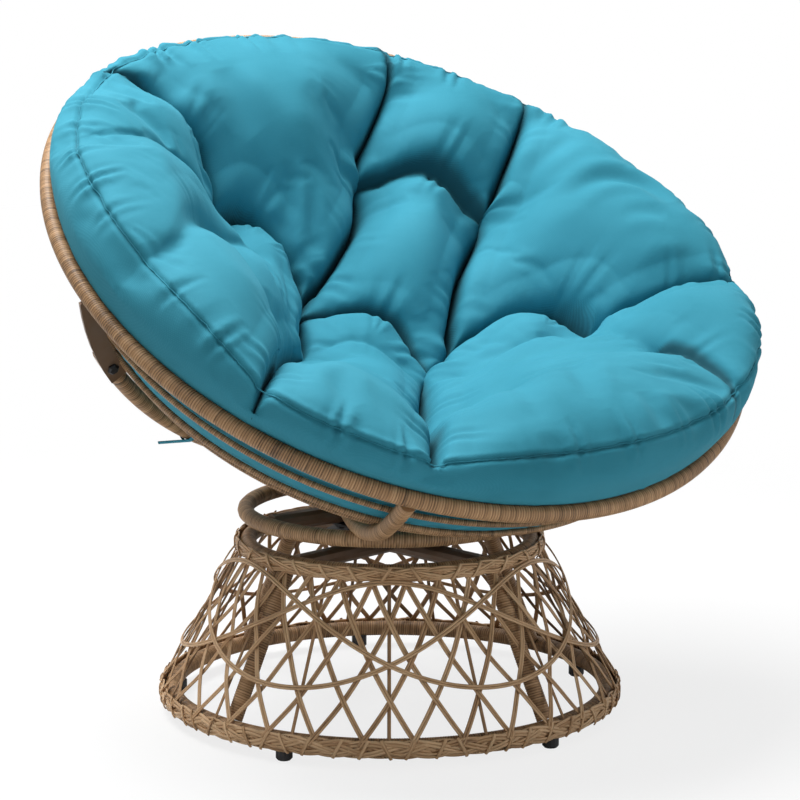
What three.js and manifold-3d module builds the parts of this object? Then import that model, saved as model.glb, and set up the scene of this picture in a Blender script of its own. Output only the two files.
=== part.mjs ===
// A papasan chair: a round bowl seat with a tufted cushion, on a swivelling wicker pedestal.
// Millimetres, +Z up. The seat faces -Y. Angles are measured from the seat's heading towards +X.
import * as THREE from 'three';
import { mergeVertices } from 'three/addons/utils/BufferGeometryUtils.js';
import Module from 'manifold-3d';

const wasm = await Module();
wasm.setup();

// Fits between pieces
const gap = 0.3; // clearance between two pieces that touch
const overrun = 4; // how far a cutter passes the face that it cuts
const mergeTolerance = 0.02; // facets this near to one plane are joined after a cut

// Wrapped frame tube
const tubeDiameter = 22;
const tubeRadius = tubeDiameter / 2;
const tubeSides = 8;

// Pedestal rings
const pedestalTurnDegrees = -35.3; // how far the pedestal stands turned from the seat
const glideHeight = 16; // floor to the lowest point of the lower ring
const glideDiameter = 22;
const glideCount = 5;
const glideTurnDegrees = 45;
const glideSeat = 3; // how far a glide rises round the ring's underside
const glideChamfer = 2.5;
const lowerRingRadius = 299;
const upperRingRadius = 194;
const upperRingHeight = 231; // floor to the upper ring's centreline
const pedestalRingSides = 60;
const legCount = 4;
const legTurnDegrees = 45;
const legInset = 7; // the legs stand this far inside the rings' centrelines

// Wicker round the pedestal
const hemThickness = 2; // layer of strand ends folded over a ring
const bandThickness = 2.8;
const bandClearance = 0.7; // between a band and the hem under it
const lowerBandHeight = 25;
const upperBandHeight = 20;
const braidRows = 3;
const braidGroove = 1.2; // depth of the groove between two braided rows
const hemInset = 1.6; // a hem stops this far inside its band's edges
const nodeCount = 30; // places round a ring where two diagonals start
const diagonalSweepDegrees = 24;
const diagonalShares = [0.33, 0.67]; // of the cage's height, where a diagonal's strand is flat
const diagonalWidth = 7;
const strandThickness = 1.8;
const layerOffset = 1.6; // from the cage's middle surface to each diagonal layer
const uprightCount = 15;
const uprightShares = [0.12, 0.88]; // of the cage's height, where an upright's strand is flat
const uprightWidth = 5;
const uprightOffset = 4.4; // the uprights run inside the diagonals
const waveCount = 3;
const waveWidth = 6;
const waveOffset = 4.8; // the waves run outside the diagonals
const wavePeakDrop = 17; // below the upper ring's centreline
const waveTroughRise = 63; // above the lower ring's centreline
const waveSteps = 36;

// Crossbars and swivel
const barDiameter = 25;
const barRadius = barDiameter / 2;
const barSides = 12;
const barTopRise = 7; // the top of the pedestal's crossbars above the upper ring's centreline
const barTopHeight = upperRingHeight + barTopRise;
const swivelHeight = 27; // between the two sets of crossbars
const swivelSides = 20;
const plateRadius = 90;
const plateThickness = 3;
const raceRadius = 58;
const raceWidth = 16;
const ballRadius = 5;
const ballCount = 10;
const ballSides = 6;
const ballClearance = 1;
const raceOpening = 3; // height of the slot between the two races
const cageThickness = 1.4;
const skirtThickness = 2.5;
const skirtClearance = 1.5;
const pinRadius = 6;
const pinHeadRadius = 12;
const pinHeadThickness = 3;
const pinSides = 12;
const hubRadius = 20;
const hubDrop = 6; // how far the upper plate's hub is dished
const boltCircleRadius = 80;
const boltRadius = 4;
const boltHeadRadius = 7;
const boltHeadThickness = 4.5;
const boltLength = 22;
const boltSides = 6;
const boltHoleClearance = 0.5;
const boltCrownShare = 0.7; // the flat on top of a bolt's head, of its radius

// Seat frame
const seatRingRadius = 197;
const seatRingRise = 10; // underside of the seat's crossbars to the ring's centreline
const seatRingSides = 36;
const rimRadius = 486;
const rimForward = 30; // the rim's centre stands this far in front of the swivel axis
const rimTiltDegrees = 33.9;
const rimSides = 56;
const bowlInset = 30;
const bowlRadius = rimRadius - bowlInset; // the bowl that the hoops lie on, at the rim's plane
const bowlDepth = 251;
const bowlLift = 16.2; // the bowl's lowest point above the seat ring's centreline
const hoopDiameter = 8;
const hoopRadius = hoopDiameter / 2;
const hoopDepthShares = [0.24, 0.42, 0.52, 0.9]; // of the bowl's depth
const hoopTubeSides = 5;
const hoopSides = 40;
const cradleHalfWidth = rimRadius + tubeRadius; // of its arc, level with the rim's centre
const cradleDrop = 69;
const cradleDepth = bowlDepth + cradleDrop; // below the rim's centre, in the cradle's own plane
const cradleTiltDegrees = 27;
const cradleStart = 100; // the cradle tube begins this far below the rim
const cradleSteps = 22;
const bracketWidth = 24;
const bracketTopInset = 8; // its top leans in under the rim
const bracketThickness = 5;
const bracketEnd = 134;
const bracketSteps = 6;
const bracketBoltDrop = 118;
const bracketBoltHeadRadius = 8;
const strutTurnDegrees = 160;
const strutSpread = 75; // from the middle plane to where a strut meets the cradle

// Ribs, front to back
const ribBite = 2; // how far a rib's wrapping is pressed in by each tube and hoop that it touches
const ribFrontDegrees = 29; // where a rib leaves the rim's front and crosses the upper hoops
const ribRingDegrees = 48; // where it rests on the seat ring, round the swivel axis
const ribLowDegrees = [37, 143]; // where it crosses the lowest hoop, before and behind the cradle
const ribCradleSpread = 123; // from the middle plane to where it rests on the cradle
const ribBendDegrees = 151;
const ribBendShare = 0.68; // of the bowl's radius, on its way up the back
const ribBackDegrees = 155; // where it crosses the upper hoops and meets the rim's back
const ribSteps = 22;

// Cushion
const cushionOverhang = 4;
const cushionRadius = rimRadius + cushionOverhang;
const cushionClearance = 1;
const seamShare = 0.85; // height of the top seam above the rim's plane, of the lobes' height there
const cushionCentreDepth = 112; // middle of the seat below the rim's plane
const channelDepth = 46;
// Each lobe runs from its own channel to the next one, and crowns this high above the rim's plane
const lobes = [
  { channel: -150, crown: 84 }, { channel: -120, crown: 116 }, { channel: -52, crown: 84 },
  { channel: -27, crown: 122 }, { channel: 45, crown: 112 }, { channel: 75, crown: 66 },
  { channel: 128, crown: 34 }, { channel: 155, crown: 42 },
];
const lobeColumnShares = [0, 0.08, 0.28, 0.5, 0.72, 0.92]; // of a lobe's width
const lobeRoundnessShare = 0.5; // power of the sine across a lobe
// Rings of the cushion's top, from the middle out: how high each lies between the middle of the
// seat and the lobes' crown, and how much of the channels' depth its channels have
const topRingShares = [
  { radius: 0.12, crown: 0, dip: 0.1 }, { radius: 0.32, crown: 0.1, dip: 0.25 },
  { radius: 0.54, crown: 0.3, dip: 0.55 }, { radius: 0.66, crown: 0.68, dip: 0.95 },
  { radius: 0.79, crown: 0.95, dip: 1 }, { radius: 0.9, crown: 1, dip: 0.8 },
  { radius: 0.97, crown: 0.97, dip: 0.55 },
];
// Rings of its side: of the cushion's radius, of the seam's height, and drawn in at the channels
const sideRingShares = [{ radius: 1, rise: 0.8, dip: 0.02 }, { radius: 1.01, rise: 0.45, dip: 0.03 }];
const rimHugDegrees = [90, 135, 180]; // round the rim's section, from straight out to straight in
const bottomRingShares = [0.99, 0.93, 0.8, 0.6, 0.35, 0.12];

// Ties
const tieWidth = 9;
const tieThickness = 1.6;
const tieClearance = 1.1;
const tieTail = 46;
const tieSpreadShare = 0.52; // from the middle plane to the knot, of the cradle's half width
const tieTurnShare = 0.75; // of a full turn round the cradle
const tieSteps = 9;

// Finishes
const wicker = { color: 0x9a7449, roughness: 0.75 };
const brownSteel = { color: 0x5b3a26, roughness: 0.4, metalness: 0.5 };
const blackSteel = { color: 0x151515, roughness: 0.45, metalness: 0.6 };
const blackPlastic = { color: 0x151515, roughness: 0.5 };
const tealCloth = { color: 0x3da5bb, roughness: 0.9 };

const turnDegrees = 360;
const quarterCount = 4;
const quarterTurns = Array.from({ length: quarterCount }, (_, i) => i / quarterCount * 2 * Math.PI);
const radians = THREE.MathUtils.degToRad;
const mean = (a, b) => (a + b) / 2;

// A point at an angle round the swivel axis
function polar(angle, radius, z) {
  return new THREE.Vector3(radius * Math.sin(angle), -radius * Math.cos(angle), z);
}

// Solids and cuts

function solidOf(geometry) {
  const bare = geometry.clone();
  bare.deleteAttribute('normal');
  bare.deleteAttribute('uv');
  const merged = mergeVertices(bare);
  return new wasm.Manifold(new wasm.Mesh({
    numProp: 3,
    vertProperties: new Float32Array(merged.attributes.position.array),
    triVerts: new Uint32Array(merged.index.array),
  }));
}

function geometryOf(solid) {
  const mesh = solid.asOriginal().simplify(mergeTolerance).getMesh();
  const geometry = new THREE.BufferGeometry();
  geometry.setAttribute('position', new THREE.BufferAttribute(mesh.vertProperties, mesh.numProp));
  geometry.setIndex(new THREE.BufferAttribute(mesh.triVerts, 1));
  geometry.computeVertexNormals();
  return geometry;
}

function cut(geometry, cutters) {
  let solid = solidOf(geometry);
  for (const cutter of cutters) solid = solid.subtract(solidOf(cutter));
  return geometryOf(solid);
}

function join(geometries) {
  let solid = solidOf(geometries[0]);
  for (const geometry of geometries.slice(1)) solid = solid.add(solidOf(geometry));
  return geometryOf(solid);
}

// A closed skin over sections with equal counts of points: a loop, or a length with two ends
function loft(sections, isLoop) {
  const count = sections[0].length;
  const positions = sections.flat().flatMap((point) => point.toArray());
  const index = [];
  const last = isLoop ? sections.length : sections.length - 1;
  for (let i = 0; i < last; i += 1) {
    const next = (i + 1) % sections.length;
    for (let j = 0; j < count; j += 1) {
      const a = i * count + j;
      const b = i * count + (j + 1) % count;
      const c = next * count + j;
      const d = next * count + (j + 1) % count;
      index.push(a, b, d, a, d, c);
    }
  }
  if (!isLoop) {
    const top = last * count;
    for (let j = 1; j < count - 1; j += 1) {
      index.push(0, j + 1, j);
      index.push(top, top + j, top + j + 1);
    }
  }
  return skin(positions, index);
}

function skin(positions, index) {
  const geometry = new THREE.BufferGeometry();
  geometry.setAttribute('position', new THREE.Float32BufferAttribute(positions, 3));
  geometry.setIndex(index);
  return geometry;
}

// A round ring in the XY plane
function ring(radius, sectionRadius, sides, z, sectionSides = tubeSides) {
  return new THREE.TorusGeometry(radius, sectionRadius, sectionSides, sides).translate(0, 0, z);
}

// A profile of radius and height, turned round the Z axis
function turned(profile, sides) {
  const points = profile.map(([radius, z]) => new THREE.Vector2(radius, z));
  return new THREE.LatheGeometry(points, sides).rotateX(Math.PI / 2);
}

// A round bar between two points
function bar(start, end, radius, sides) {
  const along = end.clone().sub(start);
  const geometry = new THREE.CylinderGeometry(radius, radius, along.length(), sides);
  const turn = new THREE.Quaternion().setFromUnitVectors(new THREE.Vector3(0, 1, 0), along.normalize());
  return geometry.applyQuaternion(turn).translate(...mean3(start, end));
}

function mean3(a, b) {
  return a.clone().add(b).multiplyScalar(1 / 2).toArray();
}

// A round tube along a curve
function tubeAlong(curve, radius, sides, steps) {
  const section = new THREE.Shape();
  for (let i = 0; i < sides; i += 1) {
    const angle = i / sides * 2 * Math.PI;
    if (i === 0) section.moveTo(radius, 0);
    else section.lineTo(radius * Math.cos(angle), radius * Math.sin(angle));
  }
  return new THREE.ExtrudeGeometry(section, { steps, extrudePath: curve, bevelEnabled: false });
}

// The four corners of a flat strand at each of its points, lying square to the outward directions
function strandSections(points, outwards, width, thickness, isLoop = false) {
  const count = points.length;
  return points.map((point, i) => {
    const before = isLoop ? points[(i + count - 1) % count] : points[Math.max(i - 1, 0)];
    const after = isLoop ? points[(i + 1) % count] : points[Math.min(i + 1, count - 1)];
    const along = after.clone().sub(before).normalize();
    const side = outwards[i].clone().cross(along).normalize().multiplyScalar(width / 2);
    const out = along.clone().cross(side).normalize().multiplyScalar(thickness / 2);
    return [[-1, -1], [-1, 1], [1, 1], [1, -1]].map(([s, o]) => (
      point.clone().addScaledVector(side, -s).addScaledVector(out, o)));
  });
}

function strand(points, outwards, width, thickness, isLoop = false) {
  return loft(strandSections(points, outwards, width, thickness, isLoop), isLoop);
}

// The scene graph

const chair = new THREE.Group();
const pedestal = new THREE.Group();
pedestal.rotation.z = radians(pedestalTurnDegrees);
const seat = new THREE.Group();
chair.add(pedestal, seat);

function place(group, name, geometry, finish) {
  const mesh = new THREE.Mesh(geometry, new THREE.MeshStandardMaterial(finish));
  mesh.name = name;
  group.add(mesh);
  return mesh;
}

// Pedestal frame

const lowerRingHeight = glideHeight + tubeRadius;
const lowerRing = ring(lowerRingRadius, tubeRadius, pedestalRingSides, lowerRingHeight);
const upperRing = ring(upperRingRadius, tubeRadius, pedestalRingSides, upperRingHeight);
const lowerRingCutter = ring(lowerRingRadius, tubeRadius + gap, pedestalRingSides, lowerRingHeight);
const upperRingCutter = ring(upperRingRadius, tubeRadius + gap, pedestalRingSides, upperRingHeight);
place(pedestal, 'base_lower_ring', lowerRing, wicker);
place(pedestal, 'base_upper_ring', upperRing, wicker);

function legBar(angle, radius, extra = 0) {
  const foot = polar(angle, lowerRingRadius - legInset, lowerRingHeight);
  const head = polar(angle, upperRingRadius - legInset, upperRingHeight);
  const past = head.clone().sub(foot).setLength(extra);
  return bar(foot, head.add(past), radius, barSides);
}

const legAngles = [];
for (let i = 0; i < legCount; i += 1) {
  legAngles.push(radians(legTurnDegrees) + i / legCount * 2 * Math.PI);
}
legAngles.forEach((angle, i) => {
  const leg = cut(legBar(angle, tubeRadius), [lowerRingCutter, upperRingCutter]);
  place(pedestal, `leg_${i + 1}`, leg, wicker);
});

for (let i = 0; i < glideCount; i += 1) {
  const radius = glideDiameter / 2;
  const glideTop = glideHeight + glideSeat;
  const profile = [
    [0, 0], [radius - glideChamfer, 0], [radius, glideChamfer], [radius, glideTop], [0, glideTop],
  ];
  const angle = radians(glideTurnDegrees) + i / glideCount * 2 * Math.PI;
  const blank = turned(profile, barSides).translate(...polar(angle, lowerRingRadius, 0).toArray());
  place(pedestal, `glide_${i + 1}`, cut(blank, [lowerRingCutter]), blackPlastic);
}

// Wicker bands and cage

const hemRadius = (ringRadius) => ringRadius + tubeRadius + gap + hemThickness / 2;

function braidedBand(ringRadius, height, bandHeight) {
  const inner = hemRadius(ringRadius) + hemThickness / 2 + bandClearance;
  const outer = inner + bandThickness;
  const rowHeight = bandHeight / braidRows;
  const low = height - bandHeight / 2;
  const profile = [[inner, low]];
  for (let row = 0; row < braidRows; row += 1) {
    if (row > 0) profile.push([outer - braidGroove, low + row * rowHeight]);
    profile.push([outer, low + (row + 1 / 2) * rowHeight]);
  }
  profile.push([inner, low + bandHeight], [inner, low]);
  return turned(profile, pedestalRingSides);
}

place(pedestal, 'lower_band', braidedBand(lowerRingRadius, lowerRingHeight, lowerBandHeight), wicker);
place(pedestal, 'upper_band', braidedBand(upperRingRadius, upperRingHeight, upperBandHeight), wicker);

const cageLow = lowerRingHeight + lowerBandHeight / 2 - hemInset;
const cageHigh = upperRingHeight - upperBandHeight / 2 - gap;
const cageLowRadius = hemRadius(lowerRingRadius);
const cageHighRadius = hemRadius(upperRingRadius);
const cageSlope = (cageLowRadius - cageHighRadius) / (cageHigh - cageLow);

// Straight out from the cage's conical surface
function cageOutward(angle) {
  return polar(angle, 1, cageSlope).normalize();
}

// A point on the cage, at a share of its height and a distance outside its middle surface
function cagePoint(angle, share, offset) {
  const radius = THREE.MathUtils.lerp(cageLowRadius, cageHighRadius, share);
  const point = polar(angle, radius, THREE.MathUtils.lerp(cageLow, cageHigh, share));
  return point.addScaledVector(cageOutward(angle), offset);
}

// Two hems joined by the strands that grow out of them, as one closed skin
function cageLattice() {
  const turn = 2 * Math.PI;
  const positions = [];
  const index = [];
  const quad = (a, b, c, d) => index.push(a, b, c, a, c, d);
  const addPoint = (point) => positions.push(...point.toArray()) / 3 - 1;

  // A hem with a row of cells: plain ones are closed, the others stay open for their strand
  function hem(cells, ringRadius, low, high, opensUp) {
    const inner = hemRadius(ringRadius) - hemThickness / 2;
    const holds = (angle) => ({ from, to }) => from < angle && angle < to || to < from && angle === 0;
    const between = Array.from({ length: nodeCount }, (_, i) => i / nodeCount * turn)
      .filter((angle) => !cells.some(holds(angle)));
    const edges = [...new Set([...between, ...cells.flatMap(({ from, to }) => [from, to])])];
    edges.sort((a, b) => a - b);
    const corners = edges.map((angle) => [
      [inner, low], [inner + hemThickness, low], [inner + hemThickness, high], [inner, high],
    ].map(([radius, z]) => addPoint(polar(angle, radius, z))));
    const feet = new Map();
    edges.forEach((edge, i) => {
      const [innerLowA, outerLowA, outerHighA, innerHighA] = corners[i];
      const [innerLowB, outerLowB, outerHighB, innerHighB] = corners[(i + 1) % edges.length];
      const cell = cells.find(({ from }) => from === edge);
      quad(outerLowA, outerLowB, outerHighB, outerHighA);
      quad(innerLowB, innerLowA, innerHighA, innerHighB);
      if (cell) feet.set(cell.kind, opensUp
        ? [innerHighA, outerHighA, outerHighB, innerHighB] : [innerLowA, outerLowA, outerLowB, innerLowB]);
      if (!cell || !opensUp) quad(innerHighA, outerHighA, outerHighB, innerHighB);
      if (!cell || opensUp) quad(innerLowA, innerLowB, outerLowB, outerLowA);
    });
    return feet;
  }

  function grow(foot, head, shares, angleAt, offset, width) {
    const points = shares.map((share) => cagePoint(angleAt(share), share, offset));
    const outwards = shares.map((share) => cageOutward(angleAt(share)));
    const sections = [foot, ...strandSections(points, outwards, width, strandThickness).map((section) => (
      section.map(addPoint))), head];
    for (let i = 0; i < sections.length - 1; i += 1) {
      for (let j = 0; j < foot.length; j += 1) {
        const k = (j + 1) % foot.length;
        quad(sections[i][j], sections[i][k], sections[i + 1][k], sections[i + 1][j]);
      }
    }
  }

  const nodeAngle = (i) => ((i + nodeCount) % nodeCount + 1 / 2) / nodeCount * turn;
  const uprightAngle = (i) => i / uprightCount * turn;
  const nodeSweep = Math.round(diagonalSweepDegrees / turnDegrees * nodeCount);
  const cellsAt = (radius, rightFirst) => [
    ...Array.from({ length: nodeCount }, (_, i) => {
      const width = diagonalWidth / radius;
      const [first, second] = rightFirst ? ['right', 'left'] : ['left', 'right'];
      const middle = nodeAngle(i);
      return [{ kind: `${first} ${i}`, from: middle - width, to: middle },
        { kind: `${second} ${i}`, from: middle, to: middle + width }];
    }).flat(),
    ...Array.from({ length: uprightCount }, (_, i) => {
      const from = uprightAngle(i) - uprightWidth / radius / 2;
      return { kind: `upright ${i}`, from: from < 0 ? from + turn : from, to: from + uprightWidth / radius };
    }),
  ];
  const lowerHemBase = lowerRingHeight - lowerBandHeight / 2 + hemInset;
  const upperHemTop = upperRingHeight + upperBandHeight / 2 - hemInset;
  const feet = hem(cellsAt(cageLowRadius, false), lowerRingRadius, lowerHemBase, cageLow, true);
  const heads = hem(cellsAt(cageHighRadius, true), upperRingRadius, cageHigh, upperHemTop, false);
  const besideLow = diagonalWidth / cageLowRadius / 2;
  const besideHigh = diagonalWidth / cageHighRadius / 2;
  for (let i = 0; i < nodeCount; i += 1) {
    for (const [kind, hand] of [['right', 1], ['left', -1]]) {
      const sweep = nodeSweep / nodeCount * turn;
      const angleAt = (share) => (
        nodeAngle(i) + hand * THREE.MathUtils.lerp(besideLow, sweep - besideHigh, share));
      const head = heads.get(`${kind} ${(i + hand * nodeSweep + nodeCount) % nodeCount}`);
      grow(feet.get(`${kind} ${i}`), head, diagonalShares, angleAt, hand * layerOffset, diagonalWidth);
    }
  }
  for (let i = 0; i < uprightCount; i += 1) {
    const angleAt = () => uprightAngle(i);
    grow(feet.get(`upright ${i}`), heads.get(`upright ${i}`), uprightShares, angleAt, -uprightOffset,
      uprightWidth);
  }
  return skin(positions, index);
}

// A strand that circles the cage in two long waves
function cageWave(wave) {
  const peak = upperRingHeight - wavePeakDrop;
  const trough = lowerRingHeight + waveTroughRise;
  const middle = mean(peak, trough);
  const swing = (peak - trough) / 2;
  const offset = waveOffset + wave * (strandThickness + gap);
  const points = [];
  const outwards = [];
  for (let step = 0; step < waveSteps; step += 1) {
    const angle = step / waveSteps * 2 * Math.PI;
    const height = middle + swing * Math.cos(2 * (angle - wave / waveCount * Math.PI));
    points.push(cagePoint(angle, (height - cageLow) / (cageHigh - cageLow), offset));
    outwards.push(cageOutward(angle));
  }
  return strand(points, outwards, waveWidth, strandThickness, true);
}

place(pedestal, 'cage_lattice', cageLattice(), wicker);
for (let wave = 0; wave < waveCount; wave += 1) {
  place(pedestal, `cage_wave_${wave + 1}`, cageWave(wave), wicker);
}

// Crossbars and their bolts

function boltHole(angle, low, high) {
  const radius = boltRadius + boltHoleClearance;
  return bar(polar(angle, boltCircleRadius, low), polar(angle, boltCircleRadius, high), radius, tubeSides);
}

// One whole bar and two half bars in a cross, cut round what they meet
function crossbars(group, prefix, turn, height, reach, cutters, holeFrom, holeTo) {
  const holes = quarterTurns.map((quarter) => boltHole(turn + quarter, holeFrom, holeTo));
  const axis = (quarter, radius) => polar(turn + quarterTurns[quarter], radius, height);
  const whole = bar(axis(2, reach), axis(0, reach), barRadius, barSides);
  place(group, `${prefix}_crossbar`, cut(whole, [...cutters, ...holes]), brownSteel);
  const wholeCutter = bar(axis(2, reach), axis(0, reach), barRadius + gap, barSides);
  for (const quarter of [1, 3]) {
    const half = bar(axis(quarter, 0), axis(quarter, reach), barRadius, barSides);
    const name = `${prefix}_half_crossbar_${quarter === 1 ? 'a' : 'b'}`;
    place(group, name, cut(half, [wholeCutter, ...cutters, ...holes]), brownSteel);
  }
}

const legCutters = legAngles.map((angle) => legBar(angle, tubeRadius + gap, 2 * barRadius));
const baseBarHeight = barTopHeight - barRadius;
const lowerPlateBase = barTopHeight + gap;
const upperPlateTop = barTopHeight + swivelHeight - gap;
const baseBarReach = upperRingRadius - tubeRadius - gap;
crossbars(pedestal, 'base', radians(legTurnDegrees), baseBarHeight, baseBarReach,
  [...legCutters, upperRingCutter], barTopHeight - boltLength, barTopHeight + overrun);

function plateBolt(group, name, angle, seatHeight, direction) {
  const head = boltHeadThickness;
  const profile = [
    [0, head], [boltHeadRadius * boltCrownShare, head], [boltHeadRadius, head / 2], [boltHeadRadius, 0],
    [boltRadius, 0], [boltRadius, gap - boltLength], [0, gap - boltLength],
  ];
  const bolt = turned(profile.reverse(), boltSides);
  if (direction < 0) bolt.rotateX(Math.PI);
  bolt.translate(...polar(angle, boltCircleRadius, seatHeight).toArray());
  place(group, name, bolt, blackSteel);
}

// Swivel bearing

const bearingMiddle = mean(lowerPlateBase, upperPlateTop);
const raceInner = raceRadius - raceWidth / 2;
const raceOuter = raceRadius + raceWidth / 2;
const pinHole = pinRadius + gap;

// The groove that the balls run in, on the side of a race that faces the balls
function groove(side) {
  const radius = ballRadius + ballClearance;
  const edge = Math.asin(raceOpening / 2 / radius);
  const points = [];
  for (const share of [1, 1 / 2, 0, -1 / 2, -1]) {
    const angle = share * (Math.PI / 2 - edge);
    points.push([raceRadius + radius * Math.sin(angle), bearingMiddle - side * radius * Math.cos(angle)]);
  }
  return points;
}

function lowerPlate() {
  const top = lowerPlateBase + plateThickness;
  const lip = bearingMiddle - raceOpening / 2;
  const profile = [
    [pinHole, lowerPlateBase], [plateRadius, lowerPlateBase], [plateRadius, top], [raceOuter, top],
    [raceOuter, lip], ...groove(1), [raceInner, lip], [raceInner, top], [pinHole, top],
    [pinHole, lowerPlateBase],
  ];
  return turned(profile, swivelSides);
}

function upperPlate() {
  const low = upperPlateTop - plateThickness;
  const lip = bearingMiddle + raceOpening / 2;
  const skirtInner = raceOuter + skirtClearance;
  const skirtOuter = skirtInner + skirtThickness;
  const skirtLow = lowerPlateBase + plateThickness + skirtClearance;
  const hubLow = low - hubDrop;
  const profile = [
    [pinHole, hubLow], [hubRadius, hubLow], [hubRadius, low], [raceInner, low], [raceInner, lip],
    ...groove(-1).reverse(), [raceOuter, lip], [raceOuter, low], [skirtInner, low],
    [skirtInner, skirtLow], [skirtOuter, skirtLow], [skirtOuter, low], [plateRadius, low],
    [plateRadius, upperPlateTop], [hubRadius - plateThickness, upperPlateTop],
    [hubRadius - plateThickness, hubLow + plateThickness], [pinHole, hubLow + plateThickness],
    [pinHole, hubLow],
  ];
  return turned(profile, swivelSides);
}

function pivotPin() {
  const flangeLow = lowerPlateBase + plateThickness + gap;
  const hubTop = upperPlateTop - hubDrop;
  const profile = [
    [0, lowerPlateBase], [pinRadius, lowerPlateBase], [pinRadius, flangeLow],
    [pinHeadRadius, flangeLow], [pinHeadRadius, flangeLow + pinHeadThickness],
    [pinRadius, flangeLow + pinHeadThickness], [pinRadius, hubTop + gap],
    [pinHeadRadius, hubTop + gap], [pinHeadRadius, hubTop + gap + pinHeadThickness],
    [0, hubTop + gap + pinHeadThickness],
  ];
  return turned(profile, pinSides);
}

function ballCage() {
  const low = bearingMiddle - cageThickness / 2;
  const high = low + cageThickness;
  const pieces = [turned([
    [raceInner, low], [raceOuter, low], [raceOuter, high], [raceInner, high], [raceInner, low],
  ], swivelSides)];
  for (let i = 0; i < ballCount; i += 1) {
    const centre = polar(i / ballCount * 2 * Math.PI, raceRadius, bearingMiddle);
    const ball = new THREE.SphereGeometry(ballRadius, ballSides, ballSides / 2);
    pieces.push(ball.translate(...centre.toArray()));
  }
  return join(pieces);
}

const lowerPlateTop = lowerPlateBase + plateThickness;
const lowerHoles = quarterTurns.map((turn) => (
  boltHole(turn + radians(legTurnDegrees), lowerPlateBase - overrun, lowerPlateTop + overrun)));
const upperHoles = quarterTurns.map((turn) => (
  boltHole(turn, upperPlateTop - plateThickness - overrun, upperPlateTop + overrun)));
place(pedestal, 'swivel_lower_plate', cut(lowerPlate(), lowerHoles), blackSteel);
place(pedestal, 'pivot_pin', pivotPin(), blackSteel);
place(pedestal, 'ball_cage', ballCage(), blackSteel);
place(seat, 'swivel_upper_plate', cut(upperPlate(), upperHoles), blackSteel);
quarterTurns.forEach((turn, i) => {
  plateBolt(pedestal, `lower_plate_bolt_${i + 1}`, turn + radians(legTurnDegrees), lowerPlateTop + gap, 1);
  plateBolt(seat, `upper_plate_bolt_${i + 1}`, turn, upperPlateTop - plateThickness - gap, -1);
});

// Seat ring and its crossbars

const seatBarLow = barTopHeight + swivelHeight;
const seatRingHeight = seatBarLow + seatRingRise;
const seatRing = ring(seatRingRadius, tubeRadius, seatRingSides, seatRingHeight);
const seatRingCutter = ring(seatRingRadius, tubeRadius + gap, seatRingSides, seatRingHeight);
place(seat, 'seat_ring', seatRing, wicker);
crossbars(seat, 'seat', 0, seatBarLow + barRadius, seatRingRadius - tubeRadius / 2,
  [seatRingCutter], seatBarLow - overrun, seatBarLow + boltLength);

// The bowl's frame: its centre, its axes in the rim's plane and its lower pole

const tilt = radians(rimTiltDegrees);
const bowlReach = Math.hypot(bowlRadius * Math.sin(tilt), bowlDepth * Math.cos(tilt));
const rimHeight = seatRingHeight + bowlLift + bowlReach;
const rimCentre = new THREE.Vector3(0, -rimForward, rimHeight);
const rimForwardAxis = new THREE.Vector3(0, -Math.cos(tilt), -Math.sin(tilt));
const rimSideAxis = new THREE.Vector3(1, 0, 0);
const rimUpAxis = new THREE.Vector3(0, -Math.sin(tilt), Math.cos(tilt));

// A point at an angle and radius round the bowl's axis, at a depth below the rim's plane
function bowlPlace(angle, radius, depth) {
  return rimCentre.clone()
    .addScaledVector(rimForwardAxis, radius * Math.cos(angle))
    .addScaledVector(rimSideAxis, radius * Math.sin(angle))
    .addScaledVector(rimUpAxis, -depth);
}

const bowlDepthAt = (radius) => bowlDepth * Math.sqrt(Math.max(1 - (radius / bowlRadius) ** 2, 0));

// A point on the bowl at a share of its radius, moved straight out from its surface
function bowlSurface(angle, share, offset) {
  const radius = share * bowlRadius;
  const depth = bowlDepthAt(radius);
  const out = new THREE.Vector2(radius / bowlRadius ** 2, depth / bowlDepth ** 2).normalize();
  return bowlPlace(angle, radius + offset * out.x, depth + offset * out.y);
}

const bowlTurn = new THREE.Matrix4().makeBasis(rimSideAxis, rimForwardAxis.clone().negate(), rimUpAxis);
const bowlMatrix = bowlTurn.setPosition(rimCentre);

function bowlRing(radius, sectionRadius, depth, sides, sectionSides) {
  return ring(radius, sectionRadius, sides, -depth, sectionSides).applyMatrix4(bowlMatrix);
}

place(seat, 'bowl_rim', bowlRing(rimRadius, tubeRadius, 0, rimSides, tubeSides), wicker);
const rimCutter = bowlRing(rimRadius, tubeRadius + gap, 0, rimSides, tubeSides);

const hoopDepths = hoopDepthShares.map((share) => share * bowlDepth);
const hoopShare = (depth) => Math.sqrt(1 - (depth / bowlDepth) ** 2);
const hoop = (depth, radius) => (
  bowlRing(bowlRadius * hoopShare(depth), radius, depth, hoopSides, hoopTubeSides));
hoopDepths.forEach((depth, i) => place(seat, `hoop_${i + 1}`, hoop(depth, hoopRadius), wicker));
const hoopCutters = hoopDepths.map((depth) => hoop(depth, hoopRadius + gap));

// Cradle tube under the bowl: an arc, bolted to a bracket on each side of the rim

const cradleTilt = radians(cradleTiltDegrees);
const cradleDown = new THREE.Vector3(0, Math.sin(cradleTilt), -Math.cos(cradleTilt));
const cradleFront = new THREE.Vector3(0, -Math.cos(cradleTilt), -Math.sin(cradleTilt));
const arcRadius = (cradleHalfWidth ** 2 + cradleDepth ** 2) / (2 * cradleDepth);
const arcCentreDrop = cradleDepth - arcRadius;
const arcAngleAtDrop = (drop) => Math.acos((drop - arcCentreDrop) / arcRadius);
const arcAngleAtSpread = (spread) => Math.asin(spread / arcRadius);

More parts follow.
